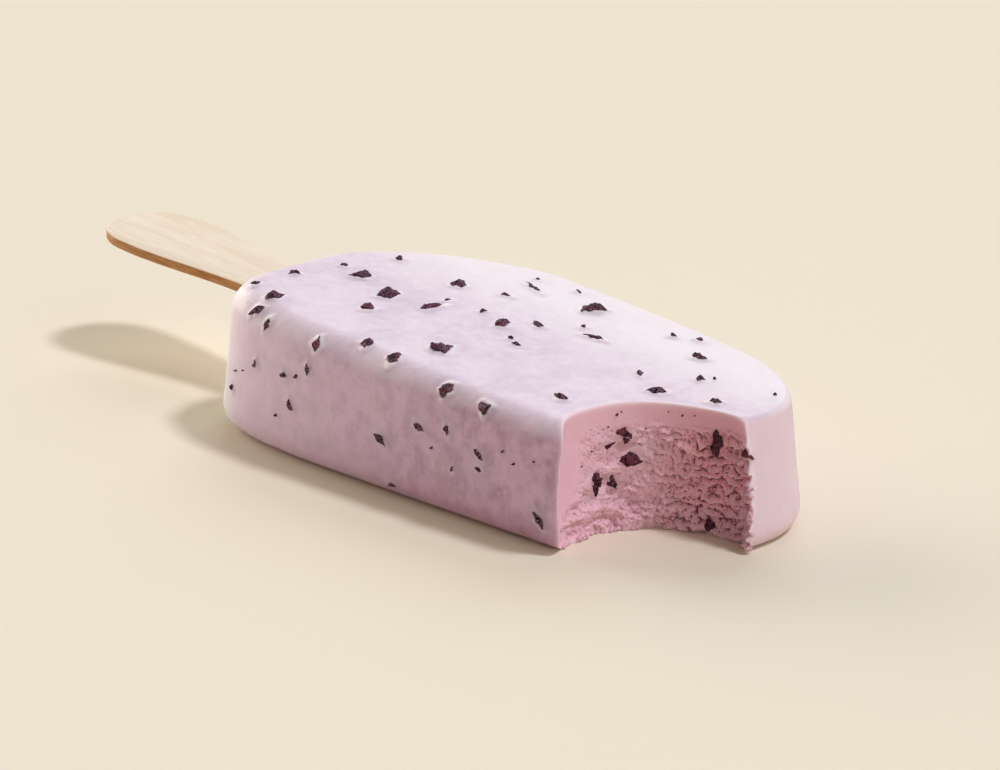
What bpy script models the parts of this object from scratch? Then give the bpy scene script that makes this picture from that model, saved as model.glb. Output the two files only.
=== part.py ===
# Ice lolly lying on its flat underside: a moulded ice cream bar with dark flakes,
# one bite taken from the near corner of its tip, and a waisted wooden stick.
# Units are metres. +X runs from the stick end to the tip, -Y is the bitten side and +Z is up.
# The origin is the middle of the underside, on the surface the bar rests on.
import math
import random

import bmesh
import bpy
from mathutils import Matrix, Vector, noise
from mathutils.bvhtree import BVHTree

MM = 0.001
MERGE = 0.001 * MM

# The bar's plan. Each long side has its own width, and its two ends are superellipses:
# (reach along the bar, power). The sides are widest at WIDEST and narrow away from it by BULGE.
BAR_LENGTH = 95.0 * MM
BAR_WIDEST = 0.27
NEAR_SIDE = {"width": 46.3 * MM, "stick_end": (35.9 * MM, 3.5), "tip": (20.0 * MM, 2.75), "bulge": 0.11}
FAR_SIDE = {"width": 47.7 * MM, "stick_end": (34.6 * MM, 1.9), "tip": (24.2 * MM, 2.5), "bulge": 0.53}

# The bar's height falls from the stick end to the tip, and so does the rounding of its top edge.
STICK_END_HEIGHT = 22.4 * MM
TIP_HEIGHT = 17.2 * MM
STICK_END_ROUNDING = 4.5 * MM
TIP_ROUNDING = 0.8 * MM
NEAR_TIP_ROUNDING = 3.0 * MM
FOOT_ROUNDING = 3.3 * MM
END_LEAN = 4.3 * MM
SIDE_FLARE = 0.8 * MM
POINTS_PER_SIDE = 40
FOOT_STEPS = 4
WALL_STEPS = 3
TOP_STEPS = 5

# The bite is a nearly upright scoop round a centre outside the remaining bar.
BITE_CENTRE = Vector((39.6 * MM, -13.7 * MM, 0.0))
BITE_RADIUS = 11.9 * MM
BITE_DEEP_LOBE = (1.6 * MM, 78.0, 24.0)
BITE_NEAR_LOBE = (0.7 * MM, 210.0, 20.0)
BITE_HOLLOW = 0.5 * MM
BITE_ARC = (35.0, 240.0)
BITE_COLUMN_STEP = 5.0
BITE_OUTER_COLUMNS = (260.0, 290.0, 320.0, 350.0, 375.0)
BITE_OUTER_RADIUS = 12.9 * MM
BITE_ROW_STEP = 0.9 * MM
BITE_SPARE_ROWS = 2
BITE_RIM = 3.5 * MM
BITE_NEAR_RIM = (232.0, 204.0)
CRAG_DEPTH = 0.45 * MM
CRAG_LENGTH = 3.4 * MM
CRAG_HEIGHT = 1.5 * MM
CRAG_MORE_BELOW = 0.7
CRAG_DEEPENS = (8.0 * MM, 2.0 * MM)
CRAG_FROM_RIM = (0.3, 1.6)
CRAG_SLICE = 0.5
FINE_CRAG_SHARE = 0.6
FINE_CRAG_LENGTH = 1.5 * MM
FINE_CRAG_HEIGHT = 0.95 * MM
FINE_CRAG_SLICE = 4.5

# The stick is a flat paddle: a broad round end outside the bar and a narrower neck that runs into it.
STICK_LENGTH = 93.0 * MM
STICK_EXPOSED = 37.5 * MM
STICK_BROAD = 17.1 * MM
STICK_NECK = 11.2 * MM
STICK_NECK_FROM = 10.0 * MM
STICK_NECK_TO = 36.0 * MM
STICK_END_STEPS = 12
STICK_NECK_STEPS = 13
STICK_INNER_STEPS = 8
STICK_THICKNESS = 1.5 * MM
STICK_EDGE = 0.25 * MM
STICK_CORNER = 60
STICK_CREASE = 40
STICK_HEIGHT = 15.4 * MM
STICK_OFFSET = -0.6 * MM
STICK_PITCH = 4.4
STICK_YAW = -1.0
STICK_CLEARANCE = 0.3 * MM
BIRCH = (0.86, 0.74, 0.57)
BIRCH_ROUGHNESS = 0.6
CREAM = (0.86, 0.76, 0.81)
CREAM_ROUGHNESS = 0.5

# A spot on the bar's skin is a distance along the bar from its middle and an angle round it, from straight
# up towards the near side. Beyond AXIS_REACH the distance bends the line of sight round the bar's end.
AXIS_REACH = 40.0 * MM
AXIS_HEIGHT = 10.0 * MM
END_BEND = 8.0 * MM
SIGHT = 80.0 * MM

# The dark flakes that stand out, laid out by eye. A row is the spot (mm, degrees), the flake's length and
# width in mm, and its turn on the skin in degrees.
FLAKES = (
    # the top, from the stick end to the tip
    (-36.5, 55, 1.8, 1.5, 60), (-30.5, 58, 2.9, 2.4, 65), (-36.5, 37, 2.1, 1.5, 45), (-35, 3, 1.5, 1.1, 50),
    (-30, 9, 3.4, 2.4, 70), (-32.5, -35, 1.6, 1.2, 35), (-21.5, 22, 4.0, 3.0, 60), (-19, 45, 2.5, 2.2, 75),
    (-14, 16, 5.8, 1.1, 80), (-15, -5, 2.2, 0.8, 90), (-19, -33, 2.8, 2.2, 50), (-8.5, -9, 1.6, 1.0, 60),
    (-11.5, -42, 2.5, 0.7, 20), (-11.5, -55, 6.0, 0.9, -18), (-14, -60, 1.1, 0.7, 5), (2, 19, 1.0, 0.9, 45),
    (-6.5, -62, 1.1, 0.9, 10), (-3, 1, 3.4, 2.4, 85), (4, 24, 2.0, 1.2, 5), (0, -22, 2.3, 1.9, 40),
    (0.5, -57, 4.2, 3.0, 45), (4.5, -42, 1.2, 0.7, 50), (8.5, -35, 5.2, 1.1, 8), (-0.5, 56, 5.0, 3.2, 75),
    (22.5, 60, 2.7, 2.2, 45), (22.5, -7, 1.9, 1.8, 80), (28.5, 13, 3.2, 2.3, 40), (14.5, -61, 1.9, 1.3, 30),
    (18, -64, 1.5, 1.0, 50), (23, -56, 2.6, 1.6, 25), (29, -37, 1.6, 1.2, 30), (36.5, -9, 2.8, 1.2, 45),
    # the near edge of the top
    (-30.5, 65, 2.8, 1.7, 45), (-27, 68, 2.1, 1.1, 85), (-16, 69, 2.2, 1.8, 90), (-8.5, 64, 2.4, 2.0, 95),
    (-2.5, 66, 2.9, 2.1, 75), (9, 70, 2.5, 1.8, 60), (16.5, 72, 3.0, 2.3, 20),
    # the near side
    (-36.5, 98, 1.1, 0.7, 85), (-29.5, 83, 1.2, 0.9, 95), (-22.5, 83, 1.5, 1.0, 0), (-17.5, 78, 2.0, 1.0, 80),
    (-21.5, 93, 2.1, 0.9, -60), (-3, 94, 2.5, 1.4, -35), (4.5, 85, 2.2, 1.3, -30), (10, 83, 2.3, 1.0, -85),
    (16, 88, 2.2, 1.0, -40), (16, 93, 1.1, 0.9, 0), (11, 96, 1.0, 0.7, 90), (-1, 109, 2.2, 0.9, -15),
    (27, 104, 3.0, 1.2, -50),
    # the stick's end of the bar
    (-49, 105, 1.6, 1.2, 30), (-51, -75, 2.4, 1.4, 70), (-47, -110, 1.8, 0.9, -20),
)

# Flakes in the bite: the angle round its centre in degrees, the height in mm, then as above.
BITE_FLAKES = (
    (156, 13.9, 1.9, 1.6, 60), (151, 13.6, 1.7, 1.5, -20), (153, 12.7, 1.5, 1.1, 10), (163, 12.2, 2.0, 0.9, 25),
    (149, 10.0, 3.5, 2.0, -5), (174, 8.1, 1.6, 1.2, 30), (171, 7.2, 1.7, 1.4, 80), (173, 6.1, 1.9, 1.1, 120),
    (161, 6.9, 2.5, 1.5, 100), (95, 14.4, 1.8, 1.4, 80), (94, 13.3, 2.2, 1.9, 60), (96, 12.2, 2.0, 1.7, 100),
    (73, 12.8, 2.0, 1.6, 0), (97, 1.4, 1.8, 1.6, 60),
)

# The far side has flakes of the same mix, drawn at random but kept apart.
FAR_FLAKES = 22
FAR_SPACING = 5.0 * MM
FAR_ALONG = (-46.0, 37.0)
FAR_ROUND = (-105.0, -79.0)
FAR_LENGTH = (1.0, 3.4)
FAR_WIDTH_SHARE = (0.4, 0.75)
FAR_TURN = (0.0, 180.0)
FLAKE_SEED = 7

# A flake is the hull of a ring below the skin, a ring at its brow just above it and a short ridge on top.
# The shares are of its half length, half width and height.
FLAKE_PROUD = 0.30 * MM
FLAKE_PROUD_BY_WIDTH = 0.28
FLAKE_SUNK = 0.7 * MM
FLAKE_SIDES = (3, 4, 5)
FLAKE_CORNER_JITTER = 0.28
FLAKE_CORNER_REACH = (0.85, 1.15)
FLAKE_SUNK_SHARE = (0.6, 1.0)
FLAKE_BROW_SHARE = (0.05, 0.3)
FLAKE_RIDGE_LEAN = 0.3
FLAKE_RIDGE_REACH = (0.1, 0.45)
FLAKE_RIDGE_ASIDE = 0.4
FLAKE_RIDGE_SHARE = (0.8, 1.15)
LEAST_SLOPE = 0.3


def clear_scene():
    for thing in list(bpy.data.objects):
        bpy.data.objects.remove(thing, do_unlink=True)


def new_collection(name):
    collection = bpy.data.collections.new(name)
    bpy.context.scene.collection.children.link(collection)
    return collection


def new_object(name, mesh, collection):
    thing = bpy.data.objects.new(name, mesh)
    collection.objects.link(thing)
    return thing


def finish(name, colour, roughness):
    material = bpy.data.materials.new(name)
    material.use_nodes = True
    shader = material.node_tree.nodes["Principled BSDF"]
    shader.inputs["Base Color"].default_value = (*colour, 1.0)
    shader.inputs["Roughness"].default_value = roughness
    shader.inputs["Metallic"].default_value = 0.0
    return material


def smoothstep(low, high, value):
    t = min(1.0, max(0.0, (value - low) / (high - low)))
    return t * t * (3.0 - 2.0 * t)


def half_width(side, along):
    """Distance from the bar's middle line to one long side, at a distance from the stick end."""
    lead, lead_power = side["stick_end"]
    nose, nose_power = side["tip"]
    width = side["width"] / 2 * (1.0 - side["bulge"] * (along / BAR_LENGTH - BAR_WIDEST) ** 2)
    if along < lead:
        width *= max(0.0, 1.0 - ((lead - along) / lead) ** lead_power) ** (1 / lead_power)
    if along > BAR_LENGTH - nose:
        width *= max(0.0, 1.0 - ((along - BAR_LENGTH + nose) / nose) ** nose_power) ** (1 / nose_power)
    return width


def plan_outline():
    """The bar's outline as points and outward normals, near side first."""
    turns = [math.pi * i / POINTS_PER_SIDE for i in range(POINTS_PER_SIDE + 1)]
    stations = [BAR_LENGTH * (1 - math.cos(turn)) / 2 for turn in turns]
    points = [Vector((a - BAR_LENGTH / 2, -half_width(NEAR_SIDE, a), 0.0)) for a in stations]
    points += [Vector((a - BAR_LENGTH / 2, half_width(FAR_SIDE, a), 0.0)) for a in reversed(stations[1:-1])]
    normals = []
    for i, point in enumerate(points):
        along = points[(i + 1) % len(points)] - points[i - 1]
        normals.append(Vector((along.y, -along.x, 0.0)).normalized())
    return points, normals


def top_height(x):
    return STICK_END_HEIGHT + (TIP_HEIGHT - STICK_END_HEIGHT) * (x / BAR_LENGTH + 0.5)


def top_rounding(point, normal):
    at_tip = TIP_ROUNDING + (NEAR_TIP_ROUNDING - TIP_ROUNDING) * max(0.0, -normal.y)
    return STICK_END_ROUNDING + (at_tip - STICK_END_ROUNDING) * (point.x / BAR_LENGTH + 0.5)


def bar_profile():
    """The wall's section from foot to top: (inset, height) in terms of the roundings and the wall between."""
    rows = []
    for i in range(FOOT_STEPS):
        angle = math.pi / 2 * i / FOOT_STEPS
        rows.append(("foot", 1 - math.sin(angle), 1 - math.cos(angle)))
    for i in range(WALL_STEPS):
        rows.append(("wall", 0.0, i / WALL_STEPS))
    for i in range(TOP_STEPS + 1):
        angle = math.pi / 2 * i / TOP_STEPS
        rows.append(("top", 1 - math.cos(angle), 1 - math.sin(angle)))
    return rows


def bar_point(point, normal, row):
    """One point of the bar's wall, for an outline point and a row of the profile."""
    kind, inset, rise = row
    rounding = top_rounding(point, normal)
    height = top_height(point.x)
    if kind == "foot":
        z = FOOT_ROUNDING * rise
        inwards = FOOT_ROUNDING * inset
    elif kind == "wall":
        z = FOOT_ROUNDING + (height - rounding - FOOT_ROUNDING) * rise
        inwards = 0.0
    else:
        z = height - rounding * rise
        inwards = rounding * inset
    lean = END_LEAN * abs(normal.x) - SIDE_FLARE * abs(normal.y)
    place = point - normal * (inwards + lean * z / height)
    if kind == "top":
        z = top_height(place.x) - rounding * rise
    return Vector((place.x, place.y, z))


def loft(name, rings):
    """A closed solid through rings of equally many points, with flat ends."""
    mesh = bpy.data.meshes.new(name)
    bm = bmesh.new()
    rows = [[bm.verts.new(point) for point in ring] for ring in rings]
    count = len(rings[0])
    bm.faces.new(list(reversed(rows[0])))
    bm.faces.new(rows[-1])
    for low, high in zip(rows, rows[1:]):
        for i in range(count):
            j = (i + 1) % count
            bm.faces.new((low[i], low[j], high[j], high[i]))
    bmesh.ops.recalc_face_normals(bm, faces=bm.faces)
    bm.to_mesh(mesh)
    bm.free()
    return mesh


def bar_mesh():
    points, normals = plan_outline()
    rings = [[bar_point(p, n, row) for p, n in zip(points, normals)] for row in bar_profile()]
    return loft("ice_cream", rings)


def lobe(shape, angle):
    size, middle, spread = shape
    return size * math.exp(-((angle - middle) / spread) ** 2)


def crag(angle, z, depth):
    """Torn relief of the bite: rows of lumps longer than they are high, none on the smooth rim."""
    arc = math.radians(angle) * BITE_RADIUS
    lumps = noise.noise(Vector((arc / CRAG_LENGTH, z / CRAG_HEIGHT, CRAG_SLICE)))
    fine = noise.noise(Vector((arc / FINE_CRAG_LENGTH, z / FINE_CRAG_HEIGHT, FINE_CRAG_SLICE)))
    rim = smoothstep(*CRAG_FROM_RIM, depth / BITE_RIM)
    near_rim = smoothstep(*BITE_NEAR_RIM, angle)
    low_down = 1.0 + CRAG_MORE_BELOW * smoothstep(*CRAG_DEEPENS, z)
    return CRAG_DEPTH * (lumps + FINE_CRAG_SHARE * fine) * rim * near_rim * low_down


def bite_radius(angle, z):
    height = top_height(BITE_CENTRE.x)
    hollow = BITE_HOLLOW * math.sin(math.pi * min(1.0, max(0.0, z / height)))
    smooth = BITE_RADIUS + lobe(BITE_DEEP_LOBE, angle) + lobe(BITE_NEAR_LOBE, angle) + hollow
    return smooth - crag(angle, z, height - z)


def bite_mesh():
    """The removed mouthful: a barrel whose craggy arc lies in the bar and whose other side is clear of it."""
    start, end = BITE_ARC
    columns = [start + BITE_COLUMN_STEP * i for i in range(int((end - start) / BITE_COLUMN_STEP) + 1)]
    columns += BITE_OUTER_COLUMNS
    rows = int(STICK_END_HEIGHT / BITE_ROW_STEP) + 2 * BITE_SPARE_ROWS
    rings = []
    for i in range(rows):
        z = BITE_ROW_STEP * (i - BITE_SPARE_ROWS)
        ring = []
        for angle in columns:
            radius = bite_radius(angle, z) if angle <= end else BITE_OUTER_RADIUS
            turn = math.radians(angle)
            ring.append(BITE_CENTRE + Vector((radius * math.cos(turn), radius * math.sin(turn), z)))
        rings.append(ring)
    return loft("bite", rings)


def stick_half_width(from_end):
    narrowed = smoothstep(STICK_NECK_FROM, STICK_NECK_TO, from_end)
    return (STICK_BROAD + (STICK_NECK - STICK_BROAD) * narrowed) / 2


def stick_outline(grow):
    """The paddle's outline with round ends, grown all round, in its own frame: x = 0 where the bar begins."""
    broad = STICK_BROAD / 2
    neck = STICK_NECK / 2
    edge = []
    for i in range(STICK_END_STEPS + 1):
        turn = math.pi / 2 * i / STICK_END_STEPS
        edge.append(Vector((broad * (1 - math.cos(turn)), broad * math.sin(turn))))
    for i in range(1, STICK_NECK_STEPS + 1):
        from_end = STICK_NECK_FROM + (STICK_NECK_TO - STICK_NECK_FROM) * i / STICK_NECK_STEPS
        edge.append(Vector((from_end, stick_half_width(from_end))))
    for i in range(STICK_INNER_STEPS + 1):
        turn = math.pi / 2 * i / STICK_INNER_STEPS
        edge.append(Vector((STICK_LENGTH - neck + neck * math.sin(turn), neck * math.cos(turn))))
    points = edge + [Vector((p.x, -p.y)) for p in reversed(edge[1:-1])]
    outline = []
    for i, point in enumerate(points):
        along = points[(i + 1) % len(points)] - points[i - 1]
        outwards = Vector((-along.y, along.x)).normalized()
        outline.append(point + outwards * grow - Vector((STICK_EXPOSED, 0.0)))
    return outline


def flat_plate(name, outline, thickness, collection):
    """A plate from a 2D curve, made a closed mesh."""
    curve = bpy.data.curves.new(name, "CURVE")
    curve.dimensions = "2D"
    curve.fill_mode = "BOTH"
    curve.extrude = thickness / 2
    spline = curve.splines.new("POLY")
    spline.points.add(len(outline) - 1)
    for spot, point in zip(spline.points, outline):
        spot.co = (point.x, point.y, 0.0, 1.0)
    spline.use_cyclic_u = True
    guide = new_object(name + "_outline", curve, collection)
    bpy.context.view_layer.update()
    mesh = bpy.data.meshes.new_from_object(guide.evaluated_get(bpy.context.evaluated_depsgraph_get()))
    bpy.data.objects.remove(guide, do_unlink=True)
    bm = bmesh.new()
    bm.from_mesh(mesh)
    bmesh.ops.remove_doubles(bm, verts=bm.verts, dist=MERGE)
    bmesh.ops.recalc_face_normals(bm, faces=bm.faces)
    bm.to_mesh(mesh)
    bm.free()
    return new_object(name, mesh, collection)


def set_in_bar(plate):
    """Lay a plate where the stick goes: its own x = 0 at the bar's stick end, sinking into the bar."""
    plate.location = (-BAR_LENGTH / 2, STICK_OFFSET, STICK_HEIGHT)
    plate.rotation_euler = (0.0, math.radians(STICK_PITCH), math.radians(STICK_YAW))


def make_stick(collection):
    stick = flat_plate("stick", stick_outline(0.0), STICK_THICKNESS, collection)
    set_in_bar(stick)
    edge = stick.modifiers.new("soft_edge", "BEVEL")
    edge.width = STICK_EDGE
    edge.segments = 2
    edge.limit_method = "ANGLE"
    edge.angle_limit = math.radians(STICK_CORNER)
    stick.data.shade_smooth()
    stick.data.set_sharp_from_angle(angle=math.radians(STICK_CREASE))
    stick.data.materials.append(finish("birch_wood", BIRCH, BIRCH_ROUGHNESS))
    return stick


def hide_cutter(cutter):
    cutter.hide_render = True
    cutter.display_type = "WIRE"


def apply_modifiers(thing):
    """Replace an object's mesh by what its modifiers make of it."""
    bpy.context.view_layer.update()
    made = bpy.data.meshes.new_from_object(thing.evaluated_get(bpy.context.evaluated_depsgraph_get()))
    thing.modifiers.clear()
    thing.data = made


def cut_bar(bar, cutters):
    for cutter in cutters:
        cut = bar.modifiers.new("cut_" + cutter.name, "BOOLEAN")
        cut.operation = "DIFFERENCE"
        cut.object = cutter
    apply_modifiers(bar)


def skin_of(thing):
    bm = bmesh.new()
    bm.from_mesh(thing.data)
    skin = BVHTree.FromBMesh(bm)
    bm.free()
    return skin


def spot_on_bar(skin, along, around):
    """The skin's point and normal where the line of sight to the bar's axis meets it."""
    reach = max(-AXIS_REACH, min(AXIS_REACH, along))
    angle = math.radians(around)
    out = Vector(((along - reach) / END_BEND, -math.sin(angle), math.cos(angle))).normalized()
    axis = Vector((reach, 0.0, AXIS_HEIGHT))
    spot, normal, _, _ = skin.ray_cast(axis + out * SIGHT, -out)
    return spot, normal


def spot_in_bite(skin, angle, height):
    turn = math.radians(angle)
    out = Vector((math.cos(turn), math.sin(turn), 0.0))
    spot, normal, _, _ = skin.ray_cast(BITE_CENTRE + Vector((0.0, 0.0, height)), out)
    return spot, normal


def skin_frame(normal, turn):
    """Axes of a flake that lies on the skin: its length, its width and the skin's normal."""
    along = Vector((1.0, 0.0, 0.0)) - normal * normal.x
    if along.length < LEAST_SLOPE:
        along = Vector((0.0, 1.0, 0.0)) - normal * normal.y
    along.normalize()
    axes = Matrix((along, normal.cross(along), normal)).transposed()
    return axes @ Matrix.Rotation(math.radians(turn), 3, "Z")


def flake_corners(length, width, draw):
    """Corners of an angular shard, in its own axes with the skin at z = 0."""
    proud = FLAKE_PROUD + FLAKE_PROUD_BY_WIDTH * width
    sides = draw.choice(FLAKE_SIDES)
    corners = []
    for level, share in ((-FLAKE_SUNK, FLAKE_SUNK_SHARE), (proud, FLAKE_BROW_SHARE)):
        for i in range(sides):
            angle = math.tau * (i + draw.uniform(-FLAKE_CORNER_JITTER, FLAKE_CORNER_JITTER)) / sides
            reach = draw.uniform(*FLAKE_CORNER_REACH)
            x = length / 2 * reach * math.cos(angle)
            y = width / 2 * reach * math.sin(angle)
            corners.append(Vector((x, y, level * draw.uniform(*share))))
    lean = draw.uniform(-FLAKE_RIDGE_LEAN, FLAKE_RIDGE_LEAN)
    for end in (-1, 1):
        x = length / 2 * (lean + end * draw.uniform(*FLAKE_RIDGE_REACH))
        y = width / 2 * draw.uniform(-FLAKE_RIDGE_ASIDE, FLAKE_RIDGE_ASIDE)
        corners.append(Vector((x, y, proud * draw.uniform(*FLAKE_RIDGE_SHARE))))
    return corners


def flake_mesh(corners):
    """The hull of a flake's corners."""
    bm = bmesh.new()
    for corner in corners:
        bm.verts.new(corner)
    hull = bmesh.ops.convex_hull(bm, input=bm.verts)
    inside = [part for part in hull["geom_interior"] if isinstance(part, bmesh.types.BMVert)]
    bmesh.ops.delete(bm, geom=inside, context="VERTS")
    bmesh.ops.recalc_face_normals(bm, faces=bm.faces)
    mesh = bpy.data.meshes.new("flake")
    bm.to_mesh(mesh)
    bm.free()
    return mesh


def add_flake(spot, normal, length, width, turn, draw, collection):
    flake = new_object("flake", flake_mesh(flake_corners(length, width, draw)), collection)
    flake.matrix_world = Matrix.Translation(spot) @ skin_frame(normal, turn).to_4x4()


def far_flakes(skin, draw):
    """Spots and sizes for the far side, each clear of those before it."""
    rows = []
    spots = []
    while len(rows) < FAR_FLAKES:
        along = draw.uniform(*FAR_ALONG) * MM
        around = draw.uniform(*FAR_ROUND)
        spot, _ = spot_on_bar(skin, along, around)
        if any((spot - other).length < FAR_SPACING for other in spots):
            continue
        spots.append(spot)
        length = draw.uniform(*FAR_LENGTH)
        width = length * draw.uniform(*FAR_WIDTH_SHARE)
        rows.append((along / MM, around, length, width, draw.uniform(*FAR_TURN)))
    return rows


def fuse_flakes(bar):
    """Join every flake to the bar in one union."""
    collection = new_collection("flakes")
    draw = random.Random(FLAKE_SEED)
    skin = skin_of(bar)
    for along, around, length, width, turn in list(FLAKES) + far_flakes(skin, draw):
        spot, normal = spot_on_bar(skin, along * MM, around)
        add_flake(spot, normal, length * MM, width * MM, turn, draw, collection)
    for angle, height, length, width, turn in BITE_FLAKES:
        spot, normal = spot_in_bite(skin, angle, height * MM)
        add_flake(spot, normal, length * MM, width * MM, turn, draw, collection)
    union = bar.modifiers.new("fuse_flakes", "BOOLEAN")
    union.operation = "UNION"
    union.operand_type = "COLLECTION"
    union.collection = collection
    union.solver = "EXACT"
    apply_modifiers(bar)
    for flake in list(collection.objects):
        bpy.data.objects.remove(flake, do_unlink=True)
    bpy.data.collections.remove(collection)


def make_ice_cream(collection, cutters):
    bar = new_object("ice_cream", bar_mesh(), collection)
    bite = new_object("bite", bite_mesh(), cutters)
    slot_thickness = STICK_THICKNESS + 2 * STICK_CLEARANCE
    slot = flat_plate("stick_slot", stick_outline(STICK_CLEARANCE), slot_thickness, cutters)
    set_in_bar(slot)
    for cutter in (bite, slot):
        hide_cutter(cutter)
    cut_bar(bar, (bite, slot))
    fuse_flakes(bar)
    bar.data.materials.clear()
    bar.data.materials.append(finish("ice_cream", CREAM, CREAM_ROUGHNESS))
    return bar


def build():
    clear_scene()
    parts = new_collection("ice_lolly")
    cutters = new_collection("cutters")
    make_ice_cream(parts, cutters)
    make_stick(parts)


build()
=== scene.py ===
import math
import random

import bmesh
import bpy
import numpy as np
from mathutils import Matrix, Vector, noise
from mathutils.bvhtree import BVHTree
from mathutils.geometry import convex_hull_2d, delaunay_2d_cdt
from mathutils.kdtree import KDTree

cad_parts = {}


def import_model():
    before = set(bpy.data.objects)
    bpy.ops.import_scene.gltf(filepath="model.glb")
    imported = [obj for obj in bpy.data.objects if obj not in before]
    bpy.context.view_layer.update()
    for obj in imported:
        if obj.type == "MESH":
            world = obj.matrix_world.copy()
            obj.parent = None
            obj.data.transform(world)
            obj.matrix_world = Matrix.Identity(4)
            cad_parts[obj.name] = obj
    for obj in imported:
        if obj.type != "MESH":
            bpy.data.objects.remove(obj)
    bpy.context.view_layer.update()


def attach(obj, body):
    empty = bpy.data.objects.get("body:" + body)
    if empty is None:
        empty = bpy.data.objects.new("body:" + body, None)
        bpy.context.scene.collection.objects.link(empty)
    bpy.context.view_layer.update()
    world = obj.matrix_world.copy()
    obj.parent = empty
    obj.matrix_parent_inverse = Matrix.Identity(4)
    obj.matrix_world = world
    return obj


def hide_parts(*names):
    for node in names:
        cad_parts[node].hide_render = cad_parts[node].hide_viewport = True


MM = 0.001
MERGE = 0.001 * MM

# The bar's plan. Each long side has its own width, and its two ends are superellipses:
# (reach along the bar, power). The sides are widest at WIDEST and narrow away from it by BULGE.
BAR_LENGTH = 95.0 * MM
BAR_WIDEST = 0.27
NEAR_SIDE = {"width": 46.3 * MM, "stick_end": (35.9 * MM, 3.5), "tip": (20.0 * MM, 2.75), "bulge": 0.11}
FAR_SIDE = {"width": 47.7 * MM, "stick_end": (34.6 * MM, 1.9), "tip": (24.2 * MM, 2.5), "bulge": 0.53}

# The bar's height falls from the stick end to the tip, and so does the rounding of its top edge.
STICK_END_HEIGHT = 22.4 * MM
TIP_HEIGHT = 17.2 * MM
STICK_END_ROUNDING = 4.5 * MM
TIP_ROUNDING = 0.8 * MM
NEAR_TIP_ROUNDING = 3.0 * MM
FOOT_ROUNDING = 3.3 * MM
END_LEAN = 4.3 * MM
SIDE_FLARE = 0.8 * MM
POINTS_PER_SIDE = 120
FOOT_STEPS = 6
WALL_STEPS = 15
TOP_STEPS = 9
CAP_CELL = 1.1 * MM
CAP_ROW_SHARE = 0.87
CAP_EDGE_GAP = 0.55
CAP_MERGE = 1e-9

# The bite is a nearly upright scoop round a centre outside the remaining bar.
BITE_CENTRE = Vector((39.6 * MM, -13.7 * MM, 0.0))
BITE_RADIUS = 11.9 * MM
BITE_DEEP_LOBE = (1.6 * MM, 78.0, 24.0)
BITE_NEAR_LOBE = (0.7 * MM, 210.0, 20.0)
BITE_HOLLOW = 0.5 * MM
BITE_ARC = (35.0, 240.0)
BITE_COLUMN_STEP = 0.625
BITE_OUTER_COLUMNS = (260.0, 290.0, 320.0, 350.0, 375.0)
BITE_OUTER_RADIUS = 12.9 * MM
BITE_ROW_STEP = 0.13 * MM
BITE_SPARE_ROWS = 10
BITE_RIM = 3.5 * MM
BITE_NEAR_RIM = (232.0, 204.0)
CRAG_DEPTH = 0.45 * MM
CRAG_LENGTH = 3.4 * MM
CRAG_HEIGHT = 1.5 * MM
CRAG_MORE_BELOW = 0.7
CRAG_DEEPENS = (8.0 * MM, 2.0 * MM)
CRAG_FROM_RIM = (0.3, 1.6)
CRAG_SLICE = 0.5
FINE_CRAG_SHARE = 0.6
FINE_CRAG_LENGTH = 1.5 * MM
FINE_CRAG_HEIGHT = 0.95 * MM
FINE_CRAG_SLICE = 4.5

# The stick is a flat paddle: a broad round end outside the bar and a narrower neck that runs into it.
STICK_LENGTH = 93.0 * MM
STICK_EXPOSED = 37.5 * MM
STICK_BROAD = 17.1 * MM
STICK_NECK = 11.2 * MM
STICK_NECK_FROM = 10.0 * MM
STICK_NECK_TO = 36.0 * MM
STICK_THICKNESS = 1.5 * MM
STICK_EDGE = 0.28 * MM
STICK_HEIGHT = 15.4 * MM
STICK_OFFSET = -0.6 * MM
STICK_PITCH = 4.4
STICK_YAW = -1.0
STICK_WEAR = 0.03 * MM
STICK_WEAR_SIZE = 2.5 * MM
STICK_SHARP_ANGLE = 40.0
STICK_STEPS = {"broad end": 36, "side": 40, "inner end": 16, "edge": 4}

# A spot on the bar's skin is a distance along the bar from its middle and an angle round it, from straight
# up towards the near side. Beyond AXIS_REACH the distance bends the line of sight round the bar's end.
AXIS_REACH = 40.0 * MM
AXIS_HEIGHT = 10.0 * MM
END_BEND = 8.0 * MM
SIGHT = 80.0 * MM

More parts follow.
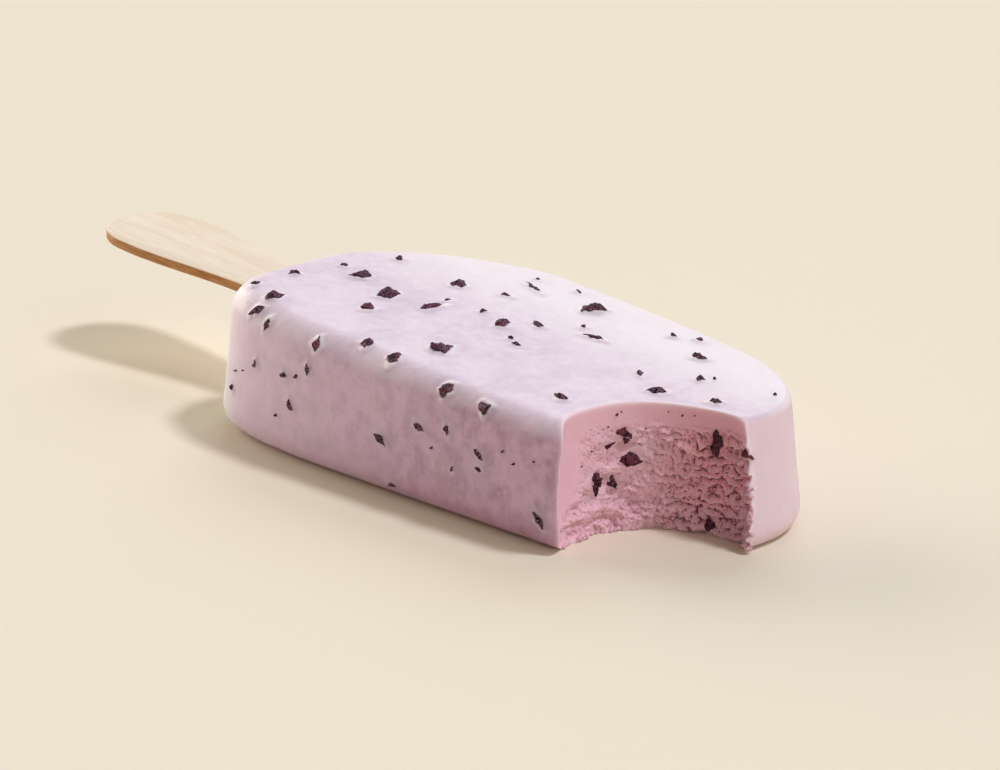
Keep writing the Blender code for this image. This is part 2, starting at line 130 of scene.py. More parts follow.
# The dark flakes that stand out, given one by one. A row is the spot (mm, degrees), the flake's length and
# width in mm, and its turn on the skin in degrees.
FLAKES = (
    # the top, from the stick end to the tip
    (-36.5, 55, 1.8, 1.5, 60), (-30.5, 58, 2.9, 2.4, 65), (-36.5, 37, 2.1, 1.5, 45), (-35, 3, 1.5, 1.1, 50),
    (-30, 9, 3.4, 2.4, 70), (-32.5, -35, 1.6, 1.2, 35), (-21.5, 22, 4.0, 3.0, 60), (-19, 45, 2.5, 2.2, 75),
    (-14, 16, 5.8, 1.1, 80), (-15, -5, 2.2, 0.8, 90), (-19, -33, 2.8, 2.2, 50), (-8.5, -9, 1.6, 1.0, 60),
    (-11.5, -42, 2.5, 0.7, 20), (-11.5, -55, 6.0, 0.9, -18), (-14, -60, 1.1, 0.7, 5), (2, 19, 1.0, 0.9, 45),
    (-6.5, -62, 1.1, 0.9, 10), (-3, 1, 3.4, 2.4, 85), (4, 24, 2.0, 1.2, 5), (0, -22, 2.3, 1.9, 40),
    (0.5, -57, 4.2, 3.0, 45), (4.5, -42, 1.2, 0.7, 50), (8.5, -35, 5.2, 1.1, 8), (-0.5, 56, 5.0, 3.2, 75),
    (22.5, 60, 2.7, 2.2, 45), (22.5, -7, 1.9, 1.8, 80), (28.5, 13, 3.2, 2.3, 40), (14.5, -61, 1.9, 1.3, 30),
    (18, -64, 1.5, 1.0, 50), (23, -56, 2.6, 1.6, 25), (29, -37, 1.6, 1.2, 30), (36.5, -9, 2.8, 1.2, 45),
    # the near edge of the top
    (-30.5, 65, 2.8, 1.7, 45), (-27, 68, 2.1, 1.1, 85), (-16, 69, 2.2, 1.8, 90), (-8.5, 64, 2.4, 2.0, 95),
    (-2.5, 66, 2.9, 2.1, 75), (9, 70, 2.5, 1.8, 60), (16.5, 72, 3.0, 2.3, 20),
    # the near side
    (-36.5, 98, 1.1, 0.7, 85), (-29.5, 83, 1.2, 0.9, 95), (-22.5, 83, 1.5, 1.0, 0), (-17.5, 78, 2.0, 1.0, 80),
    (-21.5, 93, 2.1, 0.9, -60), (-3, 94, 2.5, 1.4, -35), (4.5, 85, 2.2, 1.3, -30), (10, 83, 2.3, 1.0, -85),
    (16, 88, 2.2, 1.0, -40), (16, 93, 1.1, 0.9, 0), (11, 96, 1.0, 0.7, 90), (-1, 109, 2.2, 0.9, -15),
    (27, 104, 3.0, 1.2, -50),
    # the stick's end of the bar
    (-49, 105, 1.6, 1.2, 30), (-51, -75, 2.4, 1.4, 70), (-47, -110, 1.8, 0.9, -20),
)

# Flakes in the bite: the angle round its centre in degrees, the height in mm, then as above.
BITE_FLAKES = (
    (156, 13.9, 1.9, 1.6, 60), (151, 13.6, 1.7, 1.5, -20), (153, 12.7, 1.5, 1.1, 10),
    (163, 12.2, 2.0, 0.9, 25), (149, 10.0, 3.5, 2.0, -5), (174, 8.1, 1.6, 1.2, 30), (171, 7.2, 1.7, 1.4, 80),
    (173, 6.1, 1.9, 1.1, 120), (161, 6.9, 2.5, 1.5, 100), (95, 14.4, 1.8, 1.4, 80), (94, 13.3, 2.2, 1.9, 60),
    (96, 12.2, 2.0, 1.7, 100), (73, 12.8, 2.0, 1.6, 0), (97, 1.4, 1.8, 1.6, 60),
)

# The far side has flakes of the same mix, drawn at random but kept apart.
FAR_FLAKES = 22
FAR_SPACING = 5.0 * MM
FAR_ALONG = (-46.0, 37.0)
FAR_ROUND = (-105.0, -79.0)
FAR_LENGTH = (1.0, 3.4)
FAR_WIDTH_SHARE = (0.4, 0.75)
FAR_TURN = (0.0, 180.0)
FLAKE_SEED = 7

# A flake is the hull of a ring below the skin, a ring at its brow just above it and a short ridge on top.
# The shares are of its half length, half width and height.
FLAKE_PROUD = 0.30 * MM
FLAKE_PROUD_BY_WIDTH = 0.28
FLAKE_SUNK = 0.7 * MM
FLAKE_SIDES = (3, 4, 5)
FLAKE_CORNER_JITTER = 0.28
FLAKE_CORNER_REACH = (0.85, 1.15)
FLAKE_SUNK_SHARE = (0.6, 1.0)
FLAKE_BROW_SHARE = (0.05, 0.3)
FLAKE_RIDGE_LEAN = 0.3
FLAKE_RIDGE_REACH = (0.1, 0.45)
FLAKE_RIDGE_ASIDE = 0.4
FLAKE_RIDGE_SHARE = (0.8, 1.15)
LEAST_SLOPE = 0.3

# Specks too small for the solid: the spot (mm, degrees) and the speck's length in mm.
SPECKS = (
    (29.8, -45, 0.6), (39, -53, 0.6), (-35.4, 90, 0.6), (-20, 82, 0.8), (-24.7, 99, 0.6), (20.4, 84, 0.7),
    (22.4, 87, 0.7), (26.1, 84, 0.5), (-33, 88, 0.5), (7, 91, 0.6),
)
BITE_SPECKS = ((160, 16.6, 0.5), (157, 16.9, 0.35), (117, 16.4, 0.45), (109, 16.6, 0.35), (126, 16.8, 0.3),
               (178, 12.0, 0.35), (186, 10.2, 0.3), (140, 14.3, 0.3), (144, 12.2, 0.35), (166, 15.0, 0.3))

# Camera and light, matched to the photo.
AIM = Vector((0.0, 0.0, 12.67 * MM))
AZIMUTH = 44.39
ELEVATION = 17.76
ROLL = 1.265
DISTANCE = 545.7 * MM
LENS = 139.88
SENSOR = 36.0
SHIFT = (-0.0163, -0.0056)
CLIP = (0.01, 10.0)
KEY_FROM = Vector((8.2, 4.8, 19.0))
KEY_STRENGTH = 1.4
KEY_COLOUR = (0.94, 0.97, 1.06)
KEY_SPREAD = 10.0
BACK_FROM = Vector((-7.0, 10.0, 9.0))
BACK_STRENGTH = 0.95
BACK_COLOUR = (0.92, 0.99, 1.10)
BACK_SPREAD = 38.0
SKY_FRONT = 0.115
SKY_BACK = 0.25
SKY_LEFT = 6.5
SKY_RIGHT = 0.72
SKY_COLOUR = (1.01, 0.955, 0.81)
SKY_FRONT_TO_BACK = (-0.8, 0.8)
SKY_LEFT_FROM = (-0.75, -0.99)
SKY_RIGHT_FROM = (0.3, 0.95)
FLOOR_HALF = 1.6
FLOOR_CELLS = 8

# The skin: its swell, and the lips, painted highlight and veil round its flakes
SKIN_SWELL = 0.10 * MM
SKIN_SWELL_SIZE = 11.0 * MM
SKIN_DIMPLE = 0.035 * MM
SKIN_DIMPLE_SIZE = 3.2 * MM
DIMPLE_SLICE = Vector((5.0, 0.0, 0.0))
SWELL_FROM_FLOOR = (0.4 * MM, 3.0 * MM)
LIP_HEIGHT = 0.24 * MM
LIP_REACH = 0.45 * MM
LIP_INNER_REACH = 0.6 * MM
LIP_SHARE = {"top": 1.2, "side": 0.6}
LIP_HIGHLIGHT_SHARE = {"top": 1.0, "side": 0.35}
UNEVEN = (0.75, 0.9)
UNEVEN_SIZE = 0.8 * MM
UNEVEN_STEP = 1.7
DIP_DEPTH = 0.03 * MM
DIP_FROM_FLAKE = 1.1 * MM
DIP_WIDTH = 0.5 * MM
VEIL_SHARE = {"top": 0.2, "side": 0.55}
VEIL_REACH = 0.9 * MM
SKIN_SEARCH = 3.0 * MM

# The flakes' chips and frost, by the place where a flake lies, and the shape of a speck
CHIP_SIZE = 0.6 * MM
CHIP_DEPTH = {"top": 0.2 * MM, "side": 0.2 * MM, "bite": 0.22 * MM}
CHIP_APART = ((0.3, 0.6, 0.2), (0.7, 19.4, 0.1), (0.4, 0.9, 23.6))
CHIP_STEP = 3.1
CHIP_CUTS = 4
FINE_CHIPS = 2.3
FINE_CHIP_SHARE = 0.55
FROSTED = {"top": 0.45, "side": 0.65, "bite": 0.2, "speck": 0.3}
SIDE_FROM = 72
SPECK_WIDTH_SHARE = 0.7
SPECK_TURN = 40.0

# The bite's edge and the width of the painted highlight along it, and where the bar's mesh is made finer: how
# near a flake and how near that edge
RIM_SOFT = 0.75 * MM
RIM_PASSES = 8
RIM_PULL = 0.5
RIM_LONGEST_EDGE = 0.4 * MM
RIM_FROM_FLOOR = 0.2 * MM
RIM_HIGHLIGHT_WIDTH = 0.5 * MM
REFINE = ((1.4 * MM, 2.2 * MM), (0.8 * MM, 1.3 * MM))
REFINE_SEARCH = 6.0 * MM
REFINE_ARC = (30.0, 245.0)
TORN_SLOT = 1

# Where the bite is torn, in mm and degrees. A waver is how far an edge of the torn part strays, how many
# waves it has to the mm or degree, and the place in the noise.
CRUMB_FROM_HEIGHT = (7.0, 2.5)
TORN_FROM_TOP = (1.8, 4.4)
TORN_FROM_NEAR = (200.0, 170.0)
TORN_NEARER_BELOW = 24.0
CRUMB_WAVER = (1.6, 0.3, 9.0, 0.0)
TOP_WAVER = (1.0, 0.35, 0.0, 7.3)
NEAR_WAVER = (7.0, 0.4, 3.1, 0.0)

# Rows of torn lips, in mm. A layer is its height, how many waves it has to the mm round the bite and up it,
# and the place in the noise.
ROWS_FROM_ANGLE = (165.0, 115.0)
ROWS_AT_LEFT = 0.06
ROWS_LESS_BELOW = 0.55
ROW_PITCH = 1.1
ROW_HEIGHT = 0.66
ROW_SLOPE = 0.07
ROW_WARPS = ((1.1, 0.20, 0.28, 1.7), (0.50, 0.9, 0.8, 2.9), (0.26, 2.6, 1.8, 6.4))
LIP_RISES = (0.15, 0.75)
LIP_FALLS = (1.0, 0.86)
LIP_DROOP = 0.45
LIP_BREAKS = (-0.30, 0.16)
LIP_BREAK_PACE = (0.85, 3.7, 5.5)

# Grain, pits and lumps of the torn part. Lumps also have the share of their cells that stands out.
GRAIN = (0.14, 2.6, 2.9, 11.0)
FINE_GRAIN = (0.17, 5.2, 5.2, 3.0)
GRAIN_MORE_BELOW = 0.6
PITS = (1.0, 2.0, 2.9, 21.0)
PIT_EDGE = (0.30, 0.50)
PIT_DEPTH = 0.20
PITS_LESS_BELOW = 0.6
LUMPS = (0.85, 0.42, 1.05, 1.12, 0.35)
FINE_LUMPS = (0.26, 0.38, 2.6, 2.6, 4.35)
FINE_LUMPS_ABOVE = 0.35
FINE_LUMPS_MORE_BELOW = 0.75
COARSE_AT_LEFT = 0.4
FLAKE_BED = (1.6, 0.9)
FLAKE_BED_SHARE = 0.85
HOLLOW_PASSES = 14

# Painted shade on the torn part, by the angle round the bite
SHADE_DEEPENS = (150.0, 92.0)
SHADE_EASES = (92.0, 68.0)
SHADE_EASES_BY = 0.6

# Smooth hollows that flakes have left in the bite: angle and height of the middle, half width in degrees
# and half height in mm.
IMPRINTS = ((154.0, 11.9, 5.6, 0.8), (165.8, 7.3, 3.0, 0.9))
IMPRINT_DEPTH = 0.3 * MM
IMPRINT_EDGE = (1.15, 0.85)

# Loose crumbs along the bite's edge: how many, their size from the smallest to the largest, their lumps as
# height and waves, and where they fall.
FOOT_CRUMBS = 90
EDGE_CRUMBS = 28
CRUMB_SIZE = (0.28 * MM, 0.8 * MM)
CRUMB_STRETCH = (0.75, 1.15)
CRUMB_LUMPS = ((0.60, 1.3), (0.40, 3.4))
CRUMB_NOISE_SPAN = 50.0
CRUMB_SPLITS = 3
CRUMB_SCATTER = 0.3
CRUMB_LIES_AT = 0.55
# The share of the bite's painted shade that the crumbs take.
CRUMB_SHADE = 0.75
CRUMB_SEED = 11
FOOT_BELOW = 0.3 * MM
FAR_EDGE_FROM = 40.5 * MM
FAR_EDGE_HEIGHT = (0.8 * MM, 9.0 * MM)


def linear(red, green, blue):
    """A colour as it shows in the photo, 0 to 255, as linear light."""
    def channel(value):
        value /= 255.0
        return value / 12.92 if value <= 0.04045 else ((value + 0.055) / 1.055) ** 2.4
    return channel(red), channel(green), channel(blue), 1.0


def smoothstep(low, high, value):
    t = min(1.0, max(0.0, (value - low) / (high - low)))
    return t * t * (3.0 - 2.0 * t)


def quarter_turn(steps):
    """Angles from 0 to a quarter turn."""
    return [math.pi / 2 * i / steps for i in range(steps + 1)]


def new_object(name, data):
    thing = bpy.data.objects.new(name, data)
    bpy.context.scene.collection.objects.link(thing)
    return thing


def finished(bm, name):
    """The mesh of a bmesh, which is freed."""
    mesh = bpy.data.meshes.new(name)
    bm.to_mesh(mesh)
    bm.free()
    return mesh


def join_rings(bm, rings):
    """A wall of four-cornered faces from each ring of points to the next."""
    count = len(rings[0])
    for low, high in zip(rings, rings[1:]):
        for i in range(count):
            j = (i + 1) % count
            bm.faces.new((low[i], low[j], high[j], high[i]))


def tree_of(points):
    """A search tree of points, each under its number."""
    tree = KDTree(len(points))
    for number, point in enumerate(points):
        tree.insert(point, number)
    tree.balance()
    return tree


def read_vectors(items, name):
    """One vector of each item of a mesh, as rows."""
    values = np.zeros(len(items) * 3, np.float32)
    items.foreach_get(name, values)
    return values.reshape(-1, 3)


def half_width(side, along):
    """Distance from the bar's middle line to one long side, at a distance from the stick end."""
    lead, lead_power = side["stick_end"]
    nose, nose_power = side["tip"]
    width = side["width"] / 2 * (1.0 - side["bulge"] * (along / BAR_LENGTH - BAR_WIDEST) ** 2)
    if along < lead:
        width *= max(0.0, 1.0 - ((lead - along) / lead) ** lead_power) ** (1 / lead_power)
    if along > BAR_LENGTH - nose:
        width *= max(0.0, 1.0 - ((along - BAR_LENGTH + nose) / nose) ** nose_power) ** (1 / nose_power)
    return width


def plan_outline():
    """The bar's outline as points and outward normals, near side first."""
    turns = [math.pi * i / POINTS_PER_SIDE for i in range(POINTS_PER_SIDE + 1)]
    stations = [BAR_LENGTH * (1 - math.cos(turn)) / 2 for turn in turns]
    near = [Vector((s - BAR_LENGTH / 2, -half_width(NEAR_SIDE, s), 0.0)) for s in stations]
    far = [Vector((s - BAR_LENGTH / 2, half_width(FAR_SIDE, s), 0.0)) for s in reversed(stations[1:-1])]
    points = near + far
    normals = []
    for i, point in enumerate(points):
        along = points[(i + 1) % len(points)] - points[i - 1]
        normals.append(Vector((along.y, -along.x, 0.0)).normalized())
    return points, normals


def top_height(x):
    return STICK_END_HEIGHT + (TIP_HEIGHT - STICK_END_HEIGHT) * (x / BAR_LENGTH + 0.5)


def top_rounding(point, normal):
    at_tip = TIP_ROUNDING + (NEAR_TIP_ROUNDING - TIP_ROUNDING) * max(0.0, -normal.y)
    return STICK_END_ROUNDING + (at_tip - STICK_END_ROUNDING) * (point.x / BAR_LENGTH + 0.5)


def bar_profile():
    """The wall's section from foot to top: (inset, height) in terms of the roundings and the wall between."""
    rows = [("foot", 1 - math.sin(turn), 1 - math.cos(turn)) for turn in quarter_turn(FOOT_STEPS)[:-1]]
    rows += [("wall", 0.0, i / WALL_STEPS) for i in range(WALL_STEPS)]
    rows += [("top", 1 - math.cos(turn), 1 - math.sin(turn)) for turn in quarter_turn(TOP_STEPS)]
    return rows


def bar_point(point, normal, row):
    """One point of the bar's wall, for an outline point and a row of the profile."""
    kind, inset, rise = row
    rounding = top_rounding(point, normal)
    height = top_height(point.x)
    if kind == "foot":
        z = FOOT_ROUNDING * rise
        inwards = FOOT_ROUNDING * inset
    elif kind == "wall":
        z = FOOT_ROUNDING + (height - rounding - FOOT_ROUNDING) * rise
        inwards = 0.0
    else:
        z = height - rounding * rise
        inwards = rounding * inset
    lean = END_LEAN * abs(normal.x) - SIDE_FLARE * abs(normal.y)
    place = point - normal * (inwards + lean * z / height)
    if kind == "top":
        z = top_height(place.x) - rounding * rise
    return Vector((place.x, place.y, z))


def add_cap(bm, ring, height_at, upwards):
    """Fill a ring of the bar with an even net of triangles."""
    outline = [v.co.to_2d() for v in ring]
    edge = tree_of([(v.co.x, v.co.y, 0.0) for v in ring])
    inner = []
    reach = int(BAR_LENGTH / CAP_CELL / 2)
    for i in range(-reach, reach + 1):
        for k in range(-reach, reach + 1):
            place = Vector(((i + 0.5 * (k % 2)) * CAP_CELL, k * CAP_CELL * CAP_ROW_SHARE))
            if edge.find(place.to_3d())[2] > CAP_EDGE_GAP * CAP_CELL:
                inner.append(place)
    bound = [list(range(len(outline)))]
    flat, _, faces, origins, _, _ = delaunay_2d_cdt(outline + inner, [], bound, 1, CAP_MERGE)
    made = {}

    def corner(i):
        if i not in made:
            known = [o for o in origins[i] if o < len(ring)]
            made[i] = ring[known[0]] if known else bm.verts.new((*flat[i], height_at(flat[i].x)))
        return made[i]

    for face in faces:
        corners = [corner(i) for i in face]
        new = bm.faces.new(corners)
        new.normal_update()
        if (new.normal.z > 0) != upwards:
            new.normal_flip()


def bar_bmesh():
    """The whole bar as an evenly fine closed mesh."""
    points, normals = plan_outline()
    bm = bmesh.new()
    rows = [[bm.verts.new(bar_point(p, n, row)) for p, n in zip(points, normals)] for row in bar_profile()]
    join_rings(bm, rows)
    add_cap(bm, rows[-1], top_height, True)
    add_cap(bm, rows[0], lambda x: 0.0, False)
    bmesh.ops.recalc_face_normals(bm, faces=bm.faces)
    return bm


def refine(bm, near_enough):
    """Halve the edges of every face that has a corner where near_enough says so."""
    chosen = set()
    for face in bm.faces:
        if any(near_enough(v.co) for v in face.verts):
            chosen.update(face.edges)
    bmesh.ops.subdivide_edges(bm, edges=list(chosen), cuts=1, use_grid_fill=True)


def lobe(shape, angle):
    size, middle, spread = shape
    return size * math.exp(-((angle - middle) / spread) ** 2)


def crag(angle, z, depth):
    """Torn relief of the bite: rows of lumps longer than they are high, none on the smooth rim."""
    arc = math.radians(angle) * BITE_RADIUS
    lumps = noise.noise(Vector((arc / CRAG_LENGTH, z / CRAG_HEIGHT, CRAG_SLICE)))
    fine = noise.noise(Vector((arc / FINE_CRAG_LENGTH, z / FINE_CRAG_HEIGHT, FINE_CRAG_SLICE)))
    rim = smoothstep(*CRAG_FROM_RIM, depth / BITE_RIM)
    near_rim = smoothstep(*BITE_NEAR_RIM, angle)
    low_down = 1.0 + CRAG_MORE_BELOW * smoothstep(*CRAG_DEEPENS, z)
    return CRAG_DEPTH * (lumps + FINE_CRAG_SHARE * fine) * rim * near_rim * low_down


def bite_radius(angle, z):
    height = top_height(BITE_CENTRE.x)
    hollow = BITE_HOLLOW * math.sin(math.pi * min(1.0, max(0.0, z / height)))
    smooth = BITE_RADIUS + lobe(BITE_DEEP_LOBE, angle) + lobe(BITE_NEAR_LOBE, angle) + hollow
    return smooth - crag(angle, z, height - z)


def imprint(angle, h):
    """How far a point of the bite lies in a flake's imprint, and how deep it is there, both 0 to 1."""
    bare = 0.0
    dish = 0.0
    for middle, height, half_turn, half_height in IMPRINTS:
        off = math.hypot((angle - middle) / half_turn, (h - height) / half_height)
        bare = max(bare, smoothstep(*IMPRINT_EDGE, off))
        dish = max(dish, 1.0 - min(1.0, off) ** 2)
    return bare, dish


def flake_bed(s, h):
    """1 where a flake lies in the bite, so that the relief leaves it free, 0 clear of the flakes."""
    bed = 0.0
    for middle, height, length, width, _ in BITE_FLAKES:
        off = math.hypot(s - math.radians(middle) * BITE_RADIUS / MM, h - height)
        half_size = (length + width) / 4
        bed = max(bed, smoothstep(*FLAKE_BED, off / half_size))
    return bed


def bite_place(angle, z):
    """A point of the bite in mm: its way round the bite, its height and its depth below the top."""
    depth = (top_height(BITE_CENTRE.x) - z) / MM
    return math.radians(angle) * BITE_RADIUS / MM, z / MM, depth


def waver(shape, along):
    """How far an edge of the torn part strays at a place along it."""
    size, pace, *slice_at = shape
    return size * noise.noise(Vector((along * pace, *slice_at)))


def layer(shape, s, h):
    """The height of one layer of noise, s mm round the bite and h mm up it."""
    size, round_pace, up_pace, slice_at = shape
    return size * noise.noise(Vector((s * round_pace, h * up_pace, slice_at)))


def lump(shape, s, h):
    """The height of round lumps, s mm round the bite and h mm up it."""
    size, reach, round_pace, up_pace, slice_at = shape
    nearest = noise.voronoi(Vector((s * round_pace, h * up_pace, slice_at)))[0][0]
    return size * (reach - nearest)


def torn_share(angle, z):
    """How torn the bite is at a point, 0 on its smooth margins, and how crumbly it is, 0 above its foot."""
    s, h, depth = bite_place(angle, z)
    low = smoothstep(*CRUMB_FROM_HEIGHT, h + waver(CRUMB_WAVER, s))
    open_top = smoothstep(*TORN_FROM_TOP, depth + waver(TOP_WAVER, s))
    near_edge = angle + waver(NEAR_WAVER, h) - TORN_NEARER_BELOW * low
    return open_top * smoothstep(*TORN_FROM_NEAR, near_edge), low


def torn(angle, z):
    """The fine relief of the torn ice cream, positive into the mouthful."""
    share, low = torn_share(angle, z)
    s, h, depth = bite_place(angle, z)
    right = smoothstep(*ROWS_FROM_ANGLE, angle)
    coarse = COARSE_AT_LEFT + (1.0 - COARSE_AT_LEFT) * right
    # rows of lips that lean out over a dark gap
    warp = sum(layer(shape, s, h) for shape in ROW_WARPS)
    phase = (depth + ROW_SLOPE * s + warp) / ROW_PITCH
    row = math.floor(phase)
    t = phase - row
    lip = smoothstep(*LIP_RISES, t) * smoothstep(*LIP_FALLS, t)
    round_pace, row_pace, slice_at = LIP_BREAK_PACE
    broken = smoothstep(*LIP_BREAKS, noise.noise(Vector((s * round_pace, row * row_pace, slice_at))))
    rows = ROW_HEIGHT * lip * broken * (ROWS_AT_LEFT + (1.0 - ROWS_AT_LEFT) * right)
    rows *= 1.0 - ROWS_LESS_BELOW * low
    # grain, pits and loose lumps
    grain = layer(GRAIN, s, h) + layer(FINE_GRAIN, s, h) * coarse
    pits = -PIT_DEPTH * smoothstep(*PIT_EDGE, layer(PITS, s, h))
    lumps = lump(LUMPS, s, h) * low * coarse
    lumps += lump(FINE_LUMPS, s, h) * (FINE_LUMPS_ABOVE + FINE_LUMPS_MORE_BELOW * low)
    relief = rows + grain * (1.0 + GRAIN_MORE_BELOW * low) + pits * (1.0 - PITS_LESS_BELOW * low) + lumps
    bare, dish = imprint(angle, h)
    clear = (1.0 - bare) * (1.0 - FLAKE_BED_SHARE * flake_bed(s, h))
    evened = crag(angle, z, depth * MM) * (1.0 - share)
    return relief * MM * share * clear - IMPRINT_DEPTH * dish - evened


def bite_mesh():
    """The removed mouthful, its torn face finely modelled and its other side clear of the bar."""
    start, end = BITE_ARC
    count = int((end - start) / BITE_COLUMN_STEP) + 1
    columns = [start + BITE_COLUMN_STEP * i for i in range(count)] + list(BITE_OUTER_COLUMNS)
    rows = int(STICK_END_HEIGHT / BITE_ROW_STEP) + 2 * BITE_SPARE_ROWS
    bm = bmesh.new()
    rings = []
    for i in range(rows):
        level = BITE_ROW_STEP * (i - BITE_SPARE_ROWS)
        ring = []
        for angle in columns:
            z = level
            radius = BITE_OUTER_RADIUS
            if angle <= end:
                fine = torn(angle, level)
                radius = bite_radius(angle, level) - fine
                z -= LIP_DROOP * max(0.0, fine)
            turn = math.radians(angle)
            place = Vector((radius * math.cos(turn), radius * math.sin(turn), z))
            ring.append(bm.verts.new(BITE_CENTRE + place))
        rings.append(ring)
    bm.faces.new(list(reversed(rings[0])))
    bm.faces.new(rings[-1])
    join_rings(bm, rings)
    bmesh.ops.recalc_face_normals(bm, faces=bm.faces)
    return finished(bm, "bite")


def spot_on_bar(skin, along, around):
    """The skin's point and normal where the line of sight to the bar's axis meets it."""
    reach = max(-AXIS_REACH, min(AXIS_REACH, along))
    angle = math.radians(around)
    out = Vector(((along - reach) / END_BEND, -math.sin(angle), math.cos(angle))).normalized()
    axis = Vector((reach, 0.0, AXIS_HEIGHT))
    spot, normal, _, _ = skin.ray_cast(axis + out * SIGHT, -out)
    return spot, normal


def spot_in_bite(angle, height):
    """The bite's wall at an angle round its centre, with the direction out of the ice cream."""
    turn = math.radians(angle)
    out = Vector((math.cos(turn), math.sin(turn), 0.0))
    return BITE_CENTRE + out * bite_radius(angle, height) + Vector((0.0, 0.0, height)), -out


def skin_frame(normal, turn):
    """Axes of a flake that lies on the skin: its length, its width and the skin's normal."""
    along = Vector((1.0, 0.0, 0.0)) - normal * normal.x
    if along.length < LEAST_SLOPE:
        along = Vector((0.0, 1.0, 0.0)) - normal * normal.y
    along.normalize()
    axes = Matrix((along, normal.cross(along), normal)).transposed()
    return axes @ Matrix.Rotation(math.radians(turn), 3, "Z")


def far_flakes(skin, draw):
    """Spots and sizes for the far side, each clear of those before it."""
    rows = []
    spots = []
    while len(rows) < FAR_FLAKES:
        along = draw.uniform(*FAR_ALONG) * MM
        around = draw.uniform(*FAR_ROUND)
        spot, _ = spot_on_bar(skin, along, around)
        if any((spot - other).length < FAR_SPACING for other in spots):
            continue
        spots.append(spot)
        length = draw.uniform(*FAR_LENGTH)
        width = length * draw.uniform(*FAR_WIDTH_SHARE)
        rows.append((along / MM, around, length, width, draw.uniform(*FAR_TURN)))
    return rows


def flake_corners(length, width, draw):
    """Corners of an angular shard, in its own axes with the skin at z = 0."""
    proud = FLAKE_PROUD + FLAKE_PROUD_BY_WIDTH * width
    sides = draw.choice(FLAKE_SIDES)
    corners = []
    for level, share in ((-FLAKE_SUNK, FLAKE_SUNK_SHARE), (proud, FLAKE_BROW_SHARE)):
        for i in range(sides):
            angle = math.tau * (i + draw.uniform(-FLAKE_CORNER_JITTER, FLAKE_CORNER_JITTER)) / sides
            reach = draw.uniform(*FLAKE_CORNER_REACH)
            x = length / 2 * reach * math.cos(angle)
            y = width / 2 * reach * math.sin(angle)
            corners.append(Vector((x, y, level * draw.uniform(*share))))
    lean = draw.uniform(-FLAKE_RIDGE_LEAN, FLAKE_RIDGE_LEAN)
    for end in (-1, 1):
        x = length / 2 * (lean + end * draw.uniform(*FLAKE_RIDGE_REACH))
        y = width / 2 * draw.uniform(-FLAKE_RIDGE_ASIDE, FLAKE_RIDGE_ASIDE)
        corners.append(Vector((x, y, proud * draw.uniform(*FLAKE_RIDGE_SHARE))))
    return corners


class Flake:
    """A shard in its place: its axes, its corners in them, and where it is."""

    def __init__(self, spot, normal, length, width, turn, draw, kind):
        self.place = Matrix.Translation(spot) @ skin_frame(normal, turn).to_4x4()
        self.corners = flake_corners(length, width, draw)
        self.inverse = self.place.inverted()
        flat = [corner.to_2d() for corner in self.corners]
        ring = [flat[i] for i in convex_hull_2d(flat)]
        turning = sum(a.cross(b) for a, b in zip(ring, ring[1:] + ring[:1]))
        if turning < 0:
            ring.reverse()
        self.edges = list(zip(ring, ring[1:] + ring[:1]))
        self.spot = spot
        self.length = length
        self.kind = kind


def lay_flakes(skin):
    """Every flake of the solid, drawn in the same order, and then the specks."""
    draw = random.Random(FLAKE_SEED)
    rows = []
    for along, around, *shape in list(FLAKES) + far_flakes(skin, draw):
        kind = "side" if abs(around) > SIDE_FROM else "top"
        rows.append((spot_on_bar(skin, along * MM, around), *shape, kind))
    for angle, height, *shape in BITE_FLAKES:
        rows.append((spot_in_bite(angle, height * MM), *shape, "bite"))
    specks = [(spot_on_bar(skin, along * MM, around), length) for along, around, length in SPECKS]
    specks += [(spot_in_bite(angle, height * MM), length) for angle, height, length in BITE_SPECKS]
    rows += [(place, length, SPECK_WIDTH_SHARE * length, SPECK_TURN, "speck") for place, length in specks]
    return [Flake(*place, length * MM, width * MM, turn, draw, kind)
            for place, length, width, turn, kind in rows]


def chip(at):
    """A noise vector that is the same each run: one noise value for each axis, read at places apart."""
    return Vector([noise.noise(at + Vector(apart)) for apart in CHIP_APART])


def shard(flake, number):
    """A shard's mesh: the hull of its corners, split finely and chipped by noise."""
    bm = bmesh.new()
    for corner in flake.corners:
        bm.verts.new(corner)
    hull = bmesh.ops.convex_hull(bm, input=bm.verts)
    inside = [part for part in hull["geom_interior"] if isinstance(part, bmesh.types.BMVert)]
    bmesh.ops.delete(bm, geom=inside, context="VERTS")
    if flake.kind != "speck":
        bmesh.ops.subdivide_edges(bm, edges=bm.edges, cuts=CHIP_CUTS, use_grid_fill=True)
        bmesh.ops.triangulate(bm, faces=bm.faces)
        for v in bm.verts:
            at = v.co / CHIP_SIZE + Vector((number * CHIP_STEP, 0.0, 0.0))
            v.co += (chip(at) + FINE_CHIP_SHARE * chip(at * FINE_CHIPS)) * CHIP_DEPTH[flake.kind]
    bmesh.ops.recalc_face_normals(bm, faces=bm.faces)
    bm.transform(flake.place)
    return finished(bm, "shard")


def join_meshes(name, meshes):
    bm = bmesh.new()
    for mesh in meshes:
        bm.from_mesh(mesh)
        bpy.data.meshes.remove(mesh)
    return finished(bm, name)


def apply_modifiers(thing):
    """Replace an object's mesh by what its modifiers make of it."""
    bpy.context.view_layer.update()
    made = bpy.data.meshes.new_from_object(thing.evaluated_get(bpy.context.evaluated_depsgraph_get()))
    thing.modifiers.clear()
    thing.data = made


def set_attribute(mesh, name, values):
    attribute = mesh.attributes.new(name, "FLOAT", "POINT")
    attribute.data.foreach_set("value", np.asarray(values, np.float32))


def bite_spread(co):
    """How far a point lies outside the bite's arc, negative inside the mouthful, and its angle round it."""
    flat = Vector((co.x - BITE_CENTRE.x, co.y - BITE_CENTRE.y))
    angle = math.degrees(math.atan2(flat.y, flat.x)) % 360.0
    return flat.length - bite_radius(angle, co.z), angle


